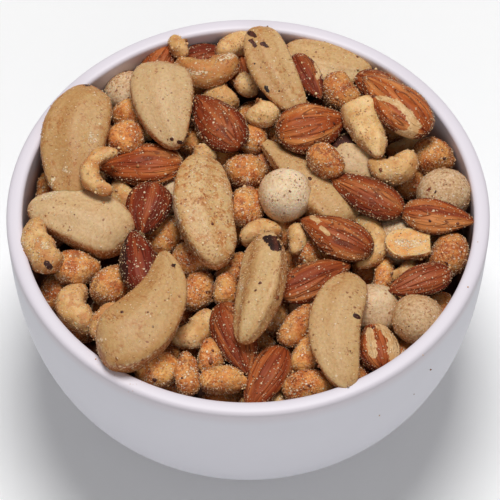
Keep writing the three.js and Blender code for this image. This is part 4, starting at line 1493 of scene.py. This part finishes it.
def random_turns(count, chance):
    """Random rotations, as matrices."""
    q = chance.normal(size=(count, 4))
    w, x, y, z = (q / np.linalg.norm(q, axis=1)[:, None]).T
    rows = [
        [1 - 2 * (y * y + z * z), 2 * (x * y - z * w), 2 * (x * z + y * w)],
        [2 * (x * y + z * w), 1 - 2 * (x * x + z * z), 2 * (y * z - x * w)],
        [2 * (x * z - y * w), 2 * (y * z + x * w), 1 - 2 * (x * x + y * y)],
    ]
    return np.moveaxis(np.array(rows), 2, 0)


def lying_turns(normals, chance):
    """Rotations that lay a flat thing on the skin under it, a little tilted, with random headings."""
    up = normals + 0.25 * chance.normal(size=normals.shape)
    up /= np.linalg.norm(up, axis=1)[:, None]
    one = np.cross(up, chance.normal(size=normals.shape))
    one /= np.linalg.norm(one, axis=1)[:, None]
    return np.stack([one, np.cross(up, one), up], 2)


NUTS = [peanuts, cashews, almonds, brazil_nuts, macadamias]
neighbours = tree_of(NUTS)
OFF_THE_SKIN, ROOM_ABOVE = 0.3, 1.5


def in_the_open(at, normals):
    """Which places have no other nut close above them."""
    starts = at + normals * OFF_THE_SKIN
    up = Vector((0, 0, 1))
    return np.array([neighbours.ray_cast(Vector(start), up, ROOM_ABOVE)[0] is None for start in starts])


print("nuts to strew on:", ", ".join(nuts.name for nuts in NUTS))


# %% Laying and strewing
UNDER_THE_TOP = 0.05


def laid(name, shape, at, turns, sizes, chance):
    """A piece from copies of one shape, each with its own place, turn and size."""
    block, faces = shape_points(shape)
    places = np.einsum("nij,nkj->nki", turns, block * sizes) + at[:, None]
    below_top = places[:, :, 2].max(1) < cad_box[1][2] / MM - UNDER_THE_TOP
    piece = repeated(name, places[below_top], faces, smooth=False)
    remember(piece, "tone", np.repeat(chance.random((below_top.sum(), 1)), len(block), 1))
    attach(piece, "root")
    print(f"{name}: {below_top.sum()}, {triangles_of(piece)} triangles")
    return piece


def strewn(name, shape, densities, size_of, seed, sunk=0.08, flat=False):
    """Small things on the nuts' upper sides, so many to the square millimetre of each kind of nut."""
    chance = np.random.default_rng(seed)
    sown = [strewn_places(piece, per_square, chance) for piece, per_square in zip(NUTS, densities)]
    at, normals = (np.concatenate(part) for part in zip(*sown))
    free = in_the_open(at, normals)
    at, normals = at[free], normals[free]
    turns = lying_turns(normals, chance) if flat else random_turns(len(at), chance)
    return laid(name, shape, at + normals * sunk, turns, size_of(chance, len(at)), chance)


def three_sides(radius, top_radius, depth):
    """A three-sided prism or pyramid."""
    shape = bmesh.new()
    bmesh.ops.create_cone(shape, cap_ends=True, segments=3, radius1=radius, radius2=top_radius, depth=depth)
    return shape


def twenty_faces():
    shape = bmesh.new()
    bmesh.ops.create_icosphere(shape, subdivisions=1, radius=1)
    return shape


print("shapes to strew: three_sides, twenty_faces")

# %% [markdown]
# A grain of sugar is a block of a fifth to half a millimetre, and its dust is finer still. There are tens of
# thousands of them, so a grain is a prism of three sides and a speck of dust a pyramid, each in its own size
# and turn. The numbers to the square millimetre are for peanuts, cashews, almonds, brazil nuts and
# macadamias, in this order.


# %% Sugar grains and dust
def grain_sizes(chance, count):
    return (0.17 + 0.26 * chance.random((count, 1, 1)) ** 2) * chance.uniform(0.8, 1.2, (count, 1, 3))


def dust_sizes(chance, count):
    return 0.08 + 0.07 * chance.random((count, 1, 1))


sugar_grains = strewn(
    "sugar_grains", three_sides(0.7, 0.6, 1), (0.86, 0.52, 0.42, 0.22, 0.26), grain_sizes, seed=23,
)
sugar_dust = strewn(
    "sugar_dust", three_sides(1.2, 0, 1.7), (1.75, 1, 0.8, 0.44, 0.5), dust_sizes, seed=29, sunk=0.04,
)

# %% [markdown]
# The chopped bits that broke off the nuts lie between the grains: uneven lumps of a third of a millimetre
# to one and a half, from cream to dark brown. A ball of twenty faces with its corners pushed about is
# enough for a crumb.


# %% Crumbs
def crumb_sizes(chance, count):
    return (0.22 + 0.5 * chance.random((count, 1, 1)) ** 4) * chance.uniform(0.7, 1.1, (count, 12, 1))


crumbs = strewn(
    "crumbs", twenty_faces(), (0.06, 0.04, 0.03, 0.016, 0.01), crumb_sizes, seed=31, sunk=0.15,
)

# %% [markdown]
# Torn scraps of the nuts' own brown skin lie flat on them: the same ball of twenty faces, pressed thin.


# %% Scraps of skin
SCRAP_THICKNESS = 0.12


def scrap_sizes(chance, count):
    across = (0.25 + 0.6 * chance.random((count, 1, 1)) ** 2) * chance.uniform(0.4, 1.3, (count, 12, 1))
    return across * np.array((1, 1, 0)) + np.array((0, 0, SCRAP_THICKNESS))


skin_scraps = strewn(
    "skin_scraps", twenty_faces(), (0.016, 0.008, 0.014, 0.006, 0.006), scrap_sizes, seed=37, sunk=0.1,
    flat=True,
)

# %% [markdown]
# A few crumbs and grains also stuck to the bowl, on its outer wall and its lip. Each is laid where the
# viewer's line of sight meets the bowl.

# %% Crumbs on the bowl
BOWL_CRUMBS = [  # seen in the plane of the rim: right, away, radius
    (54, -59.3, 0.4), (52, -54.3, 0.25), (38.4, -74.9, 0.25), (66.6, -30.2, 0.3), (70.5, -13.7, 0.2),
    (48.8, -67.7, 0.2), (-45.2, -55.8, 0.3),
]
BOWL_GRAINS = [(-42.5, -58.1), (-38.4, -60.9), (-33, -64.5)]
GRAINS_EACH, GRAINS_SPREAD, BOWL_GRAIN_SIZE = 9, 1.6, 0.11
OFF_THE_BOWL = 0.05


def on_the_bowl(seen):
    """Where the lines of sight through these places in the plane of the rim meet the bowl."""
    skin = tree_of([bowl])
    found = []
    for x, y in seen:
        way = Vector((x, y, RIM_HEIGHT)) - Vector(VIEWER)
        spot, normal, face, distance = skin.ray_cast(Vector(VIEWER), way.normalized())
        found.append(spot + normal * OFF_THE_BOWL)
    return np.array(found)


chance = np.random.default_rng(41)
seen = [(x, y) for x, y, radius in BOWL_CRUMBS]
sizes = [radius for x, y, radius in BOWL_CRUMBS]
for x, y in BOWL_GRAINS:
    seen += (chance.normal(size=(GRAINS_EACH, 2)) * GRAINS_SPREAD + (x, y)).tolist()
    sizes += [BOWL_GRAIN_SIZE] * GRAINS_EACH
sizes = np.array(sizes)[:, None, None] * chance.uniform(0.6, 1.1, (len(seen), 12, 1))
turns = random_turns(len(seen), chance)
bowl_crumbs = laid("bowl_crumbs", twenty_faces(), on_the_bowl(seen), turns, sizes, chance)

# %% [markdown]
# Each grain, crumb and scrap carries a random number, which picks its colour from a row: honey to white for
# the sugar, dark skin to cream flesh for the chopped nuts, and browns for the scraps.


# %% The finishes of sugar and crumbs
def picked(tree, *stops):
    return colours(tree, carried(tree, "tone"), *stops)


finish, tree = new_finish("sugar")
body = picked(tree, (0.0, (196, 136, 82)), (0.5, (222, 180, 130)), (1.0, (246, 224, 192)))
dress([sugar_grains, sugar_dust], finish, {"Base Color": body, "Roughness": 0.3})

finish, tree = new_finish("chopped_nut")
body = picked(
    tree, (0.0, (104, 50, 28)), (0.25, (162, 94, 48)), (0.6, (206, 146, 84)), (1.0, (232, 200, 150)),
)
broken = noise(tree, put(tree, "TexCoord").outputs["Object"], 1500.0, 3.0)
body = tinged(tree, body, mask(tree, broken, 0.45, 0.65), 0.5, (238, 210, 168))
dress([crumbs, bowl_crumbs], finish, {
    "Base Color": body, "Roughness": 0.6, "Normal": relief(tree, broken, 0.2),
})

finish, tree = new_finish("torn_skin")
body = picked(tree, (0.0, (74, 32, 20)), (0.5, (108, 50, 28)), (1.0, (148, 82, 44)))
dress([skin_scraps], finish, {"Base Color": body, "Roughness": 0.5})
print("finishes:", ", ".join(sorted(material.name for material in bpy.data.materials)))

# %% [markdown]
# The box of the solids is printed again.

# %% The size
print("the solids' box, mm:", [[round(c / MM, 1) for c in corner] for corner in cad_box])
